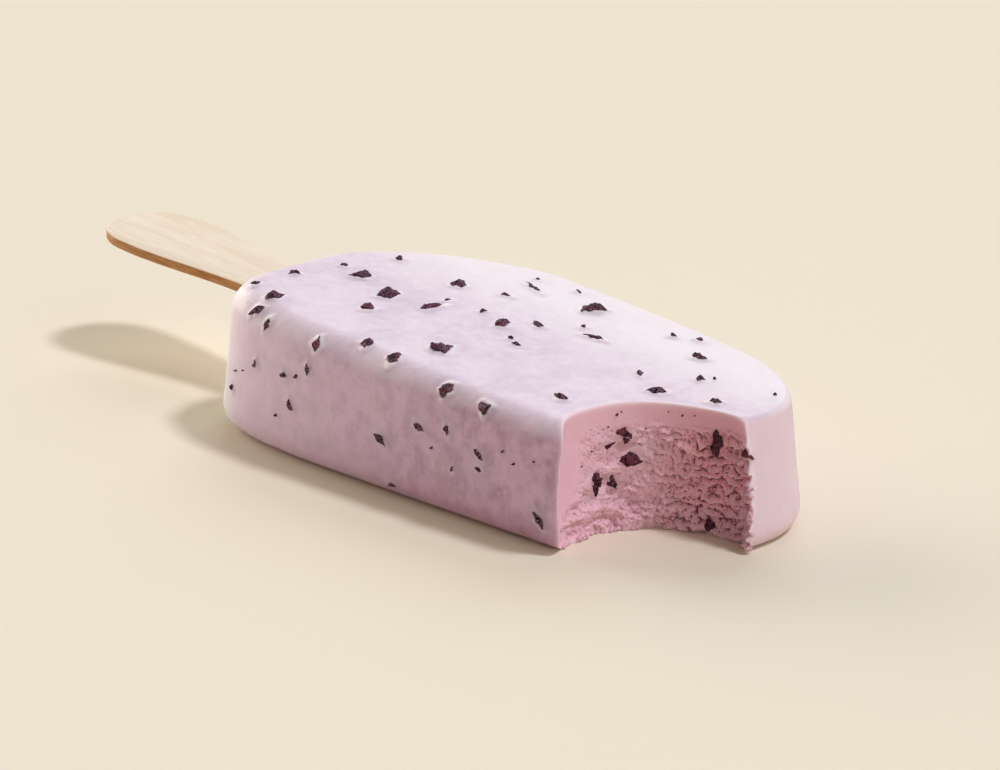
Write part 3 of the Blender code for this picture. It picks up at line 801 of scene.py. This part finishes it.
def outline_gap(flake, co):
    """Distance of a point outside a flake's outline, seen along the skin's normal, negative inside it."""
    here = (flake.inverse @ co).to_2d()
    inside = True
    least = flake.length
    for a, b in flake.edges:
        side = b - a
        share = min(1.0, max(0.0, (here - a).dot(side) / side.length_squared))
        least = min(least, (a + side * share - here).length)
        if side.cross(here - a) < 0:
            inside = False
    return -least if inside else least


def raise_skin(mesh, flakes, torn_points):
    """Swell the skin softly and draw it up round each flake; returns the attributes for its colour: a painted
    highlight on each lip and the veil round each flake.
    """
    count = len(mesh.vertices)
    co = read_vectors(mesh.vertices, "co")
    normals = read_vectors(mesh.vertex_normals, "vector")
    lift = np.zeros(count)
    painted_lip_highlight = np.zeros(count)
    veil = np.zeros(count)
    points = [Vector(place) for place in co]
    for i, point in enumerate(points):
        if not torn_points[i]:
            swell = noise.noise(point / SKIN_SWELL_SIZE) * SKIN_SWELL
            dimple = noise.noise(point / SKIN_DIMPLE_SIZE + DIMPLE_SLICE) * SKIN_DIMPLE
            lift[i] = (swell + dimple) * smoothstep(*SWELL_FROM_FLOOR, point.z)
    tree = tree_of(points)
    even, uneven = UNEVEN
    for number, flake in enumerate(flakes):
        if flake.kind not in LIP_SHARE:
            continue
        slice_at = Vector((0.0, number * UNEVEN_STEP, 0.0))
        for _, i, _ in tree.find_range(flake.spot, flake.length / 2 + SKIN_SEARCH):
            if torn_points[i]:
                continue
            gap = outline_gap(flake, points[i])
            ring = even + uneven * noise.noise(points[i] / UNEVEN_SIZE + slice_at)
            dip = 0.0
            if gap > 0:
                ring *= math.exp(-(gap / LIP_REACH) ** 2)
                dip = math.exp(-((gap - DIP_FROM_FLAKE) / DIP_WIDTH) ** 2)
            else:
                ring *= smoothstep(-LIP_INNER_REACH, 0.0, gap)
            lift[i] += LIP_HEIGHT * LIP_SHARE[flake.kind] * ring - DIP_DEPTH * dip
            # Painted highlight: a pale ring on the lip round the flake.
            painted_lip_highlight[i] = max(painted_lip_highlight[i], ring * LIP_HIGHLIGHT_SHARE[flake.kind])
            cover = math.exp(-(max(0.0, gap) / VEIL_REACH) ** 2)
            veil[i] = max(veil[i], cover * VEIL_SHARE[flake.kind])
    co += normals * lift[:, None].astype(np.float32)
    mesh.vertices.foreach_set("co", co.ravel())
    mesh.update()
    return painted_lip_highlight, veil


def soften_rim(mesh, torn_face):
    """Round the crisp edge between skin and bite; returns each point's distance from it."""
    bm = bmesh.new()
    bm.from_mesh(mesh)
    bm.verts.ensure_lookup_table()
    edge_points = set()
    for edge in bm.edges:
        kinds = {torn_face[f.index] for f in edge.link_faces}
        if len(kinds) == 2:
            edge_points.update(v.index for v in edge.verts)
    tree = tree_of([bm.verts[i].co for i in sorted(edge_points)])
    weights = {}
    rim = np.zeros(len(bm.verts))
    for v in bm.verts:
        gap = tree.find(v.co)[2]
        rim[v.index] = gap
        if gap < RIM_SOFT:
            weights[v.index] = 1.0 - gap / RIM_SOFT
    for _ in range(RIM_PASSES):
        moved = {}
        for i, weight in weights.items():
            v = bm.verts[i]
            if v.co.z < RIM_FROM_FLOOR:
                continue
            middle = Vector()
            total = 0.0
            for edge in v.link_edges:
                share = min(edge.calc_length(), RIM_LONGEST_EDGE)
                middle += edge.other_vert(v).co * share
                total += share
            moved[i] = v.co.lerp(middle / total, RIM_PULL * weight)
        for i, place in moved.items():
            bm.verts[i].co = place
    bm.to_mesh(mesh)
    bm.free()
    return rim


def hollows_of(mesh):
    """How deep each point lies below the surface round it, in mm, positive in hollows."""
    count = len(mesh.vertices)
    co = read_vectors(mesh.vertices, "co").astype(float)
    normals = read_vectors(mesh.vertex_normals, "vector")
    edges = np.zeros(len(mesh.edges) * 2, np.int32)
    mesh.edges.foreach_get("vertices", edges)
    a, b = edges.reshape(-1, 2).T
    ends = np.concatenate((a, b))
    others = np.concatenate((b, a))
    links = np.maximum(1, np.bincount(ends, minlength=count))
    smooth = co.copy()
    for _ in range(HOLLOW_PASSES):
        smooth = np.stack([np.bincount(ends, smooth[others, k], count) / links for k in range(3)], 1)
    return ((smooth - co) * normals).sum(1) / MM


def bite_shade(angle):
    """Painted shade on the torn ice cream: pale on the left, deepest short of the right edge."""
    return smoothstep(*SHADE_DEEPENS, angle) * (1.0 - SHADE_EASES_BY * smoothstep(*SHADE_EASES, angle))


def bar_before_bite(flakes, skin_bmesh):
    """The bar's mesh, made finer round its flakes and where the bite's edge will be."""
    tree = tree_of([flake.spot for flake in flakes])

    def near_flake(co, margin):
        for _, i, gap in tree.find_range(co, REFINE_SEARCH):
            if flakes[i].kind != "bite" and gap < flakes[i].length / 2 + margin:
                return True
        return False

    def near_rim(co, margin):
        gap, angle = bite_spread(co)
        return abs(gap) < margin and REFINE_ARC[0] < angle < REFINE_ARC[1]

    for by_flake, by_rim in REFINE:
        refine(skin_bmesh, lambda co: near_flake(co, by_flake) or near_rim(co, by_rim))
    bmesh.ops.triangulate(skin_bmesh, faces=[f for f in skin_bmesh.faces if len(f.verts) > 4])
    return finished(skin_bmesh, "bar")


def take_bite(bar):
    """Cut the mouthful out of the bar; its faces bring their own material."""
    mouthful = bite_mesh()
    for material in bar.data.materials:
        mouthful.materials.append(material)
    mouthful.polygons.foreach_set("material_index", [TORN_SLOT] * len(mouthful.polygons))
    bite = new_object("bite", mouthful)
    cut = bar.modifiers.new("bite", "BOOLEAN")
    cut.operation = "DIFFERENCE"
    cut.solver = "MANIFOLD"
    cut.object = bite
    apply_modifiers(bar)
    bpy.data.objects.remove(bite)


def make_bar(torn_look):
    """The bar with its bite; returns it with its flakes and the points of the bite's edge."""
    skin_bmesh = bar_bmesh()
    flakes = lay_flakes(BVHTree.FromBMesh(skin_bmesh))
    bar = new_object("bar", bar_before_bite(flakes, skin_bmesh))
    bar.data.materials.append(skin_material())
    bar.data.materials.append(torn_look)
    take_bite(bar)
    mesh = bar.data
    count = len(mesh.vertices)
    torn_face = [face.material_index == TORN_SLOT for face in mesh.polygons]
    rim = soften_rim(mesh, torn_face)
    torn_points = np.zeros(count, bool)
    for face in mesh.polygons:
        if torn_face[face.index]:
            torn_points[list(face.vertices)] = True
    painted_lip_highlight, veil = raise_skin(mesh, flakes, torn_points)
    shade = np.zeros(count)
    bare = np.zeros(count)
    margin = np.zeros(count)
    for v in mesh.vertices:
        if torn_points[v.index]:
            angle = bite_spread(v.co)[1]
            # Painted shade on the torn part, deepening round the bite towards the right.
            shade[v.index] = bite_shade(angle)
            bare[v.index] = imprint(angle, v.co.z / MM)[0]
            margin[v.index] = 1.0 - torn_share(angle, v.co.z)[0]
    # The shade attribute is painted shade on the torn part, and the lip ring is a painted highlight round the
    # flakes.
    looks = {"painted_lip_highlight": painted_lip_highlight, "veil": veil, "shade": shade, "imprint": bare, "margin": margin}
    # Painted highlight along the bite's edge, strongest on the edge itself.
    looks["rim"] = np.exp(-(rim / RIM_HIGHLIGHT_WIDTH) ** 2)
    looks["hollow"] = hollows_of(mesh)
    for name, values in looks.items():
        set_attribute(mesh, name, values)
    mesh.shade_smooth()
    edge = [v.co.copy() for v in mesh.vertices if rim[v.index] < MERGE]
    return bar, flakes, edge


def crumb(spot, size, draw):
    """One loose crumb: a rough lump lying where it fell."""
    bm = bmesh.new()
    bmesh.ops.create_icosphere(bm, subdivisions=CRUMB_SPLITS, radius=size / 2)
    shift = Vector([draw.uniform(-CRUMB_NOISE_SPAN, CRUMB_NOISE_SPAN) for _ in range(3)])
    stretch = Vector([draw.uniform(*CRUMB_STRETCH) for _ in range(3)])
    for v in bm.verts:
        way = v.co.normalized()
        swell = 1.0
        for height, pace in CRUMB_LUMPS:
            swell += height * noise.noise(way * pace + shift)
        v.co = (v.co * swell) * stretch + spot
        v.co.z = max(0.0, v.co.z)
    return finished(bm, "crumb")


def make_crumbs(edge, torn_look):
    """Crumbs of the torn ice cream along the foot of the bite and over its far edge."""
    draw = random.Random(CRUMB_SEED)
    foot = [p for p in edge if p.z < FOOT_BELOW]
    lowest, highest = FAR_EDGE_HEIGHT
    far_edge = [p for p in edge if p.x > FAR_EDGE_FROM and lowest < p.z < highest]
    smallest, largest = CRUMB_SIZE
    meshes = []
    shade = []
    for places, number in ((foot, FOOT_CRUMBS), (far_edge, EDGE_CRUMBS)):
        for _ in range(number):
            size = smallest + (largest - smallest) * draw.random() ** 2
            spot = draw.choice(places) + Vector([draw.gauss(0.0, CRUMB_SCATTER * size) for _ in range(3)])
            spot.z = max(spot.z, CRUMB_LIES_AT * size)
            meshes.append(crumb(spot, size, draw))
            # Painted shade on each crumb, from the bite's painted shade where it lies.
            shade += [CRUMB_SHADE * bite_shade(bite_spread(spot)[1])] * len(meshes[-1].vertices)
    mesh = join_meshes("crumbs", meshes)
    mesh.materials.append(torn_look)
    set_attribute(mesh, "shade", shade)
    mesh.shade_smooth()
    return new_object("crumbs", mesh)


def make_flakes(flakes):
    meshes = [shard(flake, number) for number, flake in enumerate(flakes)]
    frosted = []
    for flake, mesh in zip(flakes, meshes):
        frosted += [FROSTED[flake.kind]] * len(mesh.vertices)
    mesh = join_meshes("flakes", meshes)
    set_attribute(mesh, "frosted", frosted)
    mesh.materials.append(flake_material())
    mesh.shade_flat()
    return new_object("flakes", mesh)


def stick_half_width(from_end):
    narrowed = smoothstep(STICK_NECK_FROM, STICK_NECK_TO, from_end)
    return (STICK_BROAD + (STICK_NECK - STICK_BROAD) * narrowed) / 2


def stick_outline():
    """The paddle's outline with round ends, in its own frame: x = 0 where the bar begins."""
    broad = STICK_BROAD / 2
    neck = STICK_NECK / 2
    turns = quarter_turn(STICK_STEPS["broad end"])
    edge = [Vector((broad * (1 - math.cos(turn)), broad * math.sin(turn))) for turn in turns]
    steps = STICK_STEPS["side"]
    for i in range(1, steps + 1):
        s = STICK_NECK_FROM + (STICK_NECK_TO - STICK_NECK_FROM) * i / steps
        edge.append(Vector((s, stick_half_width(s))))
    turns = quarter_turn(STICK_STEPS["inner end"])
    edge += [Vector((STICK_LENGTH - neck + neck * math.sin(turn), neck * math.cos(turn))) for turn in turns]
    points = edge + [Vector((p.x, -p.y)) for p in reversed(edge[1:-1])]
    outline = []
    for i, point in enumerate(points):
        along = points[(i + 1) % len(points)] - points[i - 1]
        outwards = Vector((-along.y, along.x)).normalized()
        outline.append((point - Vector((STICK_EXPOSED, 0.0)), outwards))
    return outline


def make_stick():
    """The stick with softly rounded, slightly worn edges."""
    outline = stick_outline()
    half = STICK_THICKNESS / 2
    turns = quarter_turn(STICK_STEPS["edge"])
    bm = bmesh.new()
    rings = []
    for face, face_turns in ((-1, turns), (1, turns[::-1])):
        for turn in face_turns:
            inset = STICK_EDGE * (1 - math.sin(turn))
            z = face * (half - STICK_EDGE * (1 - math.cos(turn)))
            ring = []
            for point, outwards in outline:
                wear = STICK_WEAR * noise.noise(Vector((point.x, point.y, 0.0)) / STICK_WEAR_SIZE)
                place = point - outwards * (inset - wear)
                ring.append(bm.verts.new((place.x, place.y, z)))
            rings.append(ring)
    join_rings(bm, rings)
    bm.faces.new(list(reversed(rings[0])))
    bm.faces.new(rings[-1])
    bmesh.ops.recalc_face_normals(bm, faces=bm.faces)
    mesh = finished(bm, "stick")
    mesh.shade_smooth()
    mesh.set_sharp_from_angle(angle=math.radians(STICK_SHARP_ANGLE))
    mesh.materials.append(wood_material())
    stick = new_object("wooden_stick", mesh)
    stick.location = (-BAR_LENGTH / 2, STICK_OFFSET, STICK_HEIGHT)
    stick.rotation_euler = (0.0, math.radians(STICK_PITCH), math.radians(STICK_YAW))
    return stick


# Materials. Colours are set from the photo, 0 to 255, and noise sizes and reliefs are in mm.
EVEN = (1.0, 1.0, 1.0)


class Nodes:
    """Small helpers for building the nodes of a material or of the world."""

    def __init__(self, owner):
        owner.use_nodes = True
        self.owner = owner
        self.tree = owner.node_tree

    def fill(self, node, inputs):
        """Give a node's inputs their values, or link them to the sockets that their values come from."""
        for name, value in inputs.items():
            if isinstance(value, bpy.types.NodeSocket):
                self.tree.links.new(value, node.inputs[name])
            else:
                node.inputs[name].default_value = value

    def add(self, kind, output, inputs=None, **settings):
        """Add a node; returns one of its outputs."""
        node = self.tree.nodes.new("ShaderNode" + kind)
        for name, value in settings.items():
            setattr(node, name, value)
        self.fill(node, inputs or {})
        return node.outputs[output]

    def noise(self, size, detail=3.0, roughness=0.5, stretch=EVEN):
        """Noise with features of a given size."""
        place = self.add("Mapping", "Vector", {"Vector": self.add("TexCoord", "Object"), "Scale": stretch})
        shape = {"Vector": place, "Scale": 1.0 / (size * MM), "Detail": detail, "Roughness": roughness}
        return self.add("TexNoise", "Fac", shape)

    def attribute(self, name):
        return self.add("Attribute", "Fac", attribute_name=name)

    def ramp(self, value, low, high, out_low=0.0, out_high=1.0):
        ends = {"Value": value, "From Min": low, "From Max": high, "To Min": out_low, "To Max": out_high}
        return self.add("MapRange", "Result", ends, interpolation_type="SMOOTHSTEP")

    def math(self, operation, a, b=0.0):
        return self.add("Math", 0, {0: a, 1: b}, operation=operation)

    def mix(self, share, a, b):
        """Two colours mixed, each a socket or red, green and blue."""
        a, b = (linear(*end) if isinstance(end, tuple) else end for end in (a, b))
        return self.add("Mix", "Result", {"Factor": share, "A": a, "B": b}, data_type="RGBA")

    def position(self, axis):
        """The object's own coordinate along an axis, in metres."""
        return self.add("SeparateXYZ", axis, {"Vector": self.add("TexCoord", "Object")})

    def upward(self):
        """1 where the surface faces up, 0 on a wall."""
        return self.add("SeparateXYZ", "Z", {"Vector": self.add("NewGeometry", "Normal")})

    def patches(self, colour, over, share, size, shows, detail=3.0, roughness=0.5, stretch=EVEN):
        """Patches of another colour, where the noise is between two values."""
        where = self.ramp(self.noise(size, detail, roughness, stretch), *shows, 0.0, share)
        return self.mix(where, colour, over)

    def fade(self, colour, over, share, axis, start, end):
        """Another colour that comes in along an axis, from one place to another in mm."""
        return self.mix(self.ramp(self.position(axis), start * MM, end * MM, 0.0, share), colour, over)

    def marked(self, colour, over, share, name):
        """Another colour where an attribute of the mesh says so."""
        return self.mix(self.math("MULTIPLY", self.attribute(name), share), colour, over)

    def bump(self, height, distance, strength, before=None):
        """Relief of a given height, on top of the relief before it."""
        inputs = {"Height": height, "Distance": distance * MM, "Strength": strength}
        if before is not None:
            inputs["Normal"] = before
        return self.add("Bump", "Normal", inputs)

    def surface(self, **values):
        """Give the material's shader its values; returns the material."""
        shader = self.tree.nodes["Principled BSDF"]
        self.fill(shader, {name.replace("_", " "): value for name, value in values.items()})
        return self.owner


def material_nodes(name):
    return Nodes(bpy.data.materials.new(name))


def skin_material():
    """Pale pink lilac, whiter on top, mauve and patchy on the near side, partly the ice cream's own tone and
    partly painted shade; with a painted sheen towards the far side, painted light at the stick end and the
    tip, and painted highlights round the flakes and along the bite's edge.
    """
    n = material_nodes("ice_cream_skin")
    top = n.patches((226, 206, 220), (215, 192, 210), 1.0, 9.0, (0.35, 0.65), roughness=0.55)
    top = n.patches(top, (234, 218, 228), 0.45, 1.8, (0.40, 0.66), detail=4.0, roughness=0.65)
    # Painted sheen: the top turns whiter towards the far side.
    across = n.math("ADD", n.position("Y"), n.math("MULTIPLY", n.position("X"), 0.04))
    top = n.mix(n.ramp(across, -3.0 * MM, 17.0 * MM, 0.0, 0.85), top, (242, 230, 235))
    side = n.patches((217, 179, 212), (186, 146, 178), 1.0, 3.0, (0.35, 0.70), detail=4.0, roughness=0.6)
    side = n.patches(side, (208, 172, 178), 0.50, 4.5, (0.50, 0.75), stretch=(1.0, 1.0, 0.45))
    side = n.patches(side, (240, 216, 234), 0.14, 0.9, (0.42, 0.70), roughness=0.6, stretch=(1.0, 1.0, 0.16))
    side = n.patches(side, (232, 196, 214), 0.40, 1.4, (0.52, 0.70), roughness=0.6)
    side = n.fade(side, (196, 144, 168), 0.45, "Z", 7.0, 1.0)
    # Painted light: the walls lighter towards the stick end.
    side = n.fade(side, (240, 218, 240), 0.8, "X", 22.0, -44.0)
    # Painted light: the stick end whiter, most on its near half.
    painted_end_light = n.ramp(n.position("X"), -32.0 * MM, -46.0 * MM, 0.0, 0.9)
    painted_end_light = n.math("MULTIPLY", painted_end_light, n.ramp(n.position("Y"), 0.0, -14.0 * MM, 0.25, 1.0))
    side = n.mix(painted_end_light, side, (240, 246, 255))
    # Painted light: the walls lighter at the tip.
    side = n.fade(side, (232, 208, 218), 0.9, "X", 36.0, 44.0)
    brushed = n.math("MULTIPLY", n.noise(3.6, 4.0, 0.6, (0.7, 1.0, 1.0)), 0.9)
    # The walls take the mauve side colour and the top the paler one: the difference is partly the ice cream's
    # own tone and partly painted shade.
    colour = n.mix(n.ramp(n.math("ADD", n.upward(), brushed), 0.55, 1.31), side, top)
    colour = n.marked(colour, (200, 176, 204), 1.0, "veil")
    # Painted highlight round the flakes' lips.
    colour = n.marked(colour, (253, 240, 247), 0.8, "painted_lip_highlight")
    # Painted highlight along the bite's edge.
    colour = n.marked(colour, (250, 232, 240), 0.45, "rim")
    soft = n.noise(1.6, 3.0, 0.55, (1.0, 1.0, 0.5))
    relief = n.bump(soft, 0.18, 0.7)
    relief = n.bump(n.noise(0.35, 3.0, 0.65), 0.04, 0.7, relief)
    crumbly = n.ramp(n.position("Z"), 3.5 * MM, 0.8 * MM, 0.0, 0.8)
    relief = n.bump(n.noise(0.6, 3.0, 0.6), 0.22, crumbly, relief)
    return n.surface(
        Base_Color=colour, Roughness=n.ramp(soft, 0.3, 0.7, 0.40, 0.58), Normal=relief,
        Subsurface_Weight=0.5, Subsurface_Scale=1.2 * MM, Subsurface_Radius=(1.0, 0.6, 0.7),
        Specular_IOR_Level=0.35, Sheen_Weight=0.05, Sheen_Roughness=0.4,
    )


def torn_material():
    """Pink crumb with painted light and shade: deeper where the shade attribute paints shade, lighter towards
    its foot, dark in its hollows and pale on its ridges and along the bite's edge.
    """
    n = material_nodes("torn_ice_cream")
    # Lit and shaded copies of the crumb colour, mixed by the painted shade.
    light = n.patches((252, 207, 226), (248, 198, 217), 1.0, 2.2, (0.35, 0.65), roughness=0.55)
    deep = n.patches((250, 172, 190), (242, 160, 176), 1.0, 2.2, (0.35, 0.65), roughness=0.55)
    shade = n.attribute("shade")
    colour = n.mix(shade, light, deep)
    # Painted bounce light: lighter towards the foot of the bite.
    colour = n.fade(colour, (246, 192, 210), 0.75, "Z", 7.0, 1.5)
    colour = n.marked(colour, (226, 180, 199), 0.6, "margin")
    hollow = n.attribute("hollow")
    # Painted shade in the hollows, stronger where the shade attribute paints shade.
    dark = n.math("MULTIPLY", n.ramp(hollow, 0.0, 0.15, 0.0, 0.95), n.ramp(shade, 0.0, 1.0, 0.30, 1.0))
    colour = n.mix(dark, colour, (112, 30, 44))
    # Painted highlight on the ridges.
    colour = n.mix(n.ramp(hollow, -0.02, -0.12, 0.0, 0.45), colour, (255, 212, 228))
    torn = n.ramp(n.attribute("margin"), 0.9, 0.3)
    speckle = n.noise(0.2, 2.0, 0.6)
    for start, end, share, tone in ((0.45, 0.33, 0.35, (196, 112, 134)), (0.53, 0.66, 0.55, (255, 228, 242))):
        dots = n.math("MULTIPLY", n.ramp(speckle, start, end, 0.0, share), torn)
        colour = n.mix(dots, colour, tone)
    colour = n.marked(colour, (226, 178, 192), 0.75, "imprint")
    # Painted highlight along the bite's edge.
    colour = n.marked(colour, (250, 226, 234), 0.65, "rim")
    grain = n.noise(0.28, 4.0, 0.7)
    relief = n.bump(grain, 0.22, n.ramp(torn, 0.0, 1.0, 0.12, 0.9))
    relief = n.bump(n.noise(0.16, 3.0, 0.6), 0.08, 0.5, relief)
    return n.surface(
        Base_Color=colour, Roughness=n.ramp(grain, 0.3, 0.7, 0.50, 0.75), Normal=relief,
        Subsurface_Weight=0.2, Subsurface_Scale=0.35 * MM, Subsurface_Radius=(1.0, 0.45, 0.45),
        Specular_IOR_Level=0.3,
    )


def flake_material():
    """Dark maroon brown with redder places, dusted with frost."""
    n = material_nodes("dark_flakes")
    mottle = n.noise(0.6, 4.0, 0.6)
    colour = n.mix(n.ramp(mottle, 0.40, 0.62), (34, 11, 22), (92, 42, 56))
    colour = n.patches(colour, (116, 38, 50), 0.5, 1.7, (0.54, 0.66), detail=2.0)
    frost = n.ramp(n.noise(0.22, 3.0, 0.6), 0.44, 0.62, 0.0, 0.8)
    colour = n.mix(n.math("MULTIPLY", frost, n.attribute("frosted")), colour, (196, 164, 190))
    relief = n.bump(n.noise(0.25, 4.0, 0.65), 0.08, 0.8)
    rough = n.ramp(mottle, 0.35, 0.65, 0.42, 0.68)
    return n.surface(Base_Color=colour, Roughness=rough, Normal=relief, Specular_IOR_Level=0.06)


def wood_material():
    """Pale birch with fine grain along the stick, browner on its edges, partly the wood's own tone and partly
    painted shade.
    """
    n = material_nodes("birch")
    face = n.patches((238, 222, 203), (231, 211, 186), 1.0, 2.2, (0.35, 0.65), stretch=(0.06, 1.0, 1.0))
    grain = n.noise(0.45, 4.0, 0.6, (0.05, 1.0, 1.0))
    face = n.mix(n.ramp(grain, 0.40, 0.62, 0.0, 0.35), face, (222, 197, 164))
    face = n.patches(face, (250, 240, 220), 0.5, 0.5, (0.62, 0.74), detail=2.0, stretch=(0.16, 1.0, 1.0))
    # The edges browner than the faces: partly the wood's own tone and partly painted shade.
    edge = n.mix(n.ramp(grain, 0.40, 0.62), (204, 147, 95), (182, 123, 74))
    colour = n.mix(n.ramp(n.math("ABSOLUTE", n.upward()), 0.45, 0.85), edge, face)
    rough = n.ramp(grain, 0.3, 0.7, 0.48, 0.66)
    relief = n.bump(grain, 0.06, 0.5)
    return n.surface(Base_Color=colour, Roughness=rough, Normal=relief, Specular_IOR_Level=0.3)


def floor_material():
    """A plain matt surface, cream like the photo's."""
    n = material_nodes("pale_floor")
    cloud = n.noise(250.0, 2.0)
    colour = n.mix(n.ramp(cloud, 0.3, 0.7), (238, 227, 209), (237, 226, 207))
    rough = n.ramp(cloud, 0.3, 0.7, 0.88, 0.94)
    relief = n.bump(n.noise(0.8), 0.02, 0.3)
    return n.surface(Base_Color=colour, Roughness=rough, Normal=relief, Specular_IOR_Level=0.0)


# Stage, light and camera
def make_floor():
    bm = bmesh.new()
    bmesh.ops.create_grid(bm, x_segments=FLOOR_CELLS, y_segments=FLOOR_CELLS, size=FLOOR_HALF)
    mesh = finished(bm, "floor")
    mesh.materials.append(floor_material())
    return new_object("floor", mesh)


def add_sun(name, came_from, strength, colour, spread):
    sun = bpy.data.lights.new(name, "SUN")
    sun.energy = strength
    sun.color = colour
    sun.angle = math.radians(spread)
    new_object(name, sun).rotation_euler = came_from.to_track_quat("Z", "Y").to_euler()


def make_lights():
    """A key from above the tip, and a broad soft light from behind that lays the shadow in front."""
    add_sun("key", KEY_FROM, KEY_STRENGTH, KEY_COLOUR, KEY_SPREAD)
    add_sun("back_light", BACK_FROM, BACK_STRENGTH, BACK_COLOUR, BACK_SPREAD)
    bpy.context.scene.world = studio_world()


def studio_world():
    """A soft room: bright behind the lolly and at its stick end, dim in front of it."""
    n = Nodes(bpy.data.worlds.new("studio"))
    place = {"Vector": n.add("TexCoord", "Generated")}
    x = n.add("SeparateXYZ", "X", place)
    y = n.add("SeparateXYZ", "Y", place)
    left = n.ramp(x, *SKY_LEFT_FROM, 0.0, SKY_LEFT)
    right = n.ramp(x, *SKY_RIGHT_FROM, 0.0, SKY_RIGHT)
    behind = n.ramp(y, *SKY_FRONT_TO_BACK, SKY_FRONT, SKY_BACK)
    total = n.math("ADD", behind, n.math("ADD", left, right))
    n.fill(n.tree.nodes["Background"], {"Color": (*SKY_COLOUR, 1.0), "Strength": total})
    return n.owner


def make_camera():
    azimuth = math.radians(AZIMUTH)
    elevation = math.radians(ELEVATION)
    right = Vector((math.cos(azimuth), math.sin(azimuth), 0.0))
    back = Vector((math.sin(azimuth) * math.cos(elevation), -math.cos(azimuth) * math.cos(elevation),
                   math.sin(elevation)))
    axes = Matrix((right, back.cross(right), back)).transposed() @ Matrix.Rotation(math.radians(ROLL), 3, "Z")
    data = bpy.data.cameras.new("camera")
    data.lens = LENS
    data.sensor_width = SENSOR
    data.shift_x, data.shift_y = SHIFT
    data.clip_start, data.clip_end = CLIP
    camera = new_object("camera", data)
    camera.matrix_world = Matrix.Translation(AIM + back * DISTANCE) @ axes.to_4x4()
    bpy.context.scene.camera = camera


def build():
    """Every piece in its place in the frame, with the stage."""
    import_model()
    torn_look = torn_material()
    bar, flakes, bite_edge = make_bar(torn_look)
    shards = make_flakes(flakes)
    crumbs = make_crumbs(bite_edge, torn_look)
    stick = make_stick()
    for piece in (bar, shards, crumbs):
        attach(piece, "root")
        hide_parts("ice_cream")
    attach(stick, "root")
    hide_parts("stick")
    make_floor()
    make_lights()
    make_camera()
    scene = bpy.context.scene
    scene.view_settings.view_transform = "Standard"
    scene.view_settings.look = "None"


build()
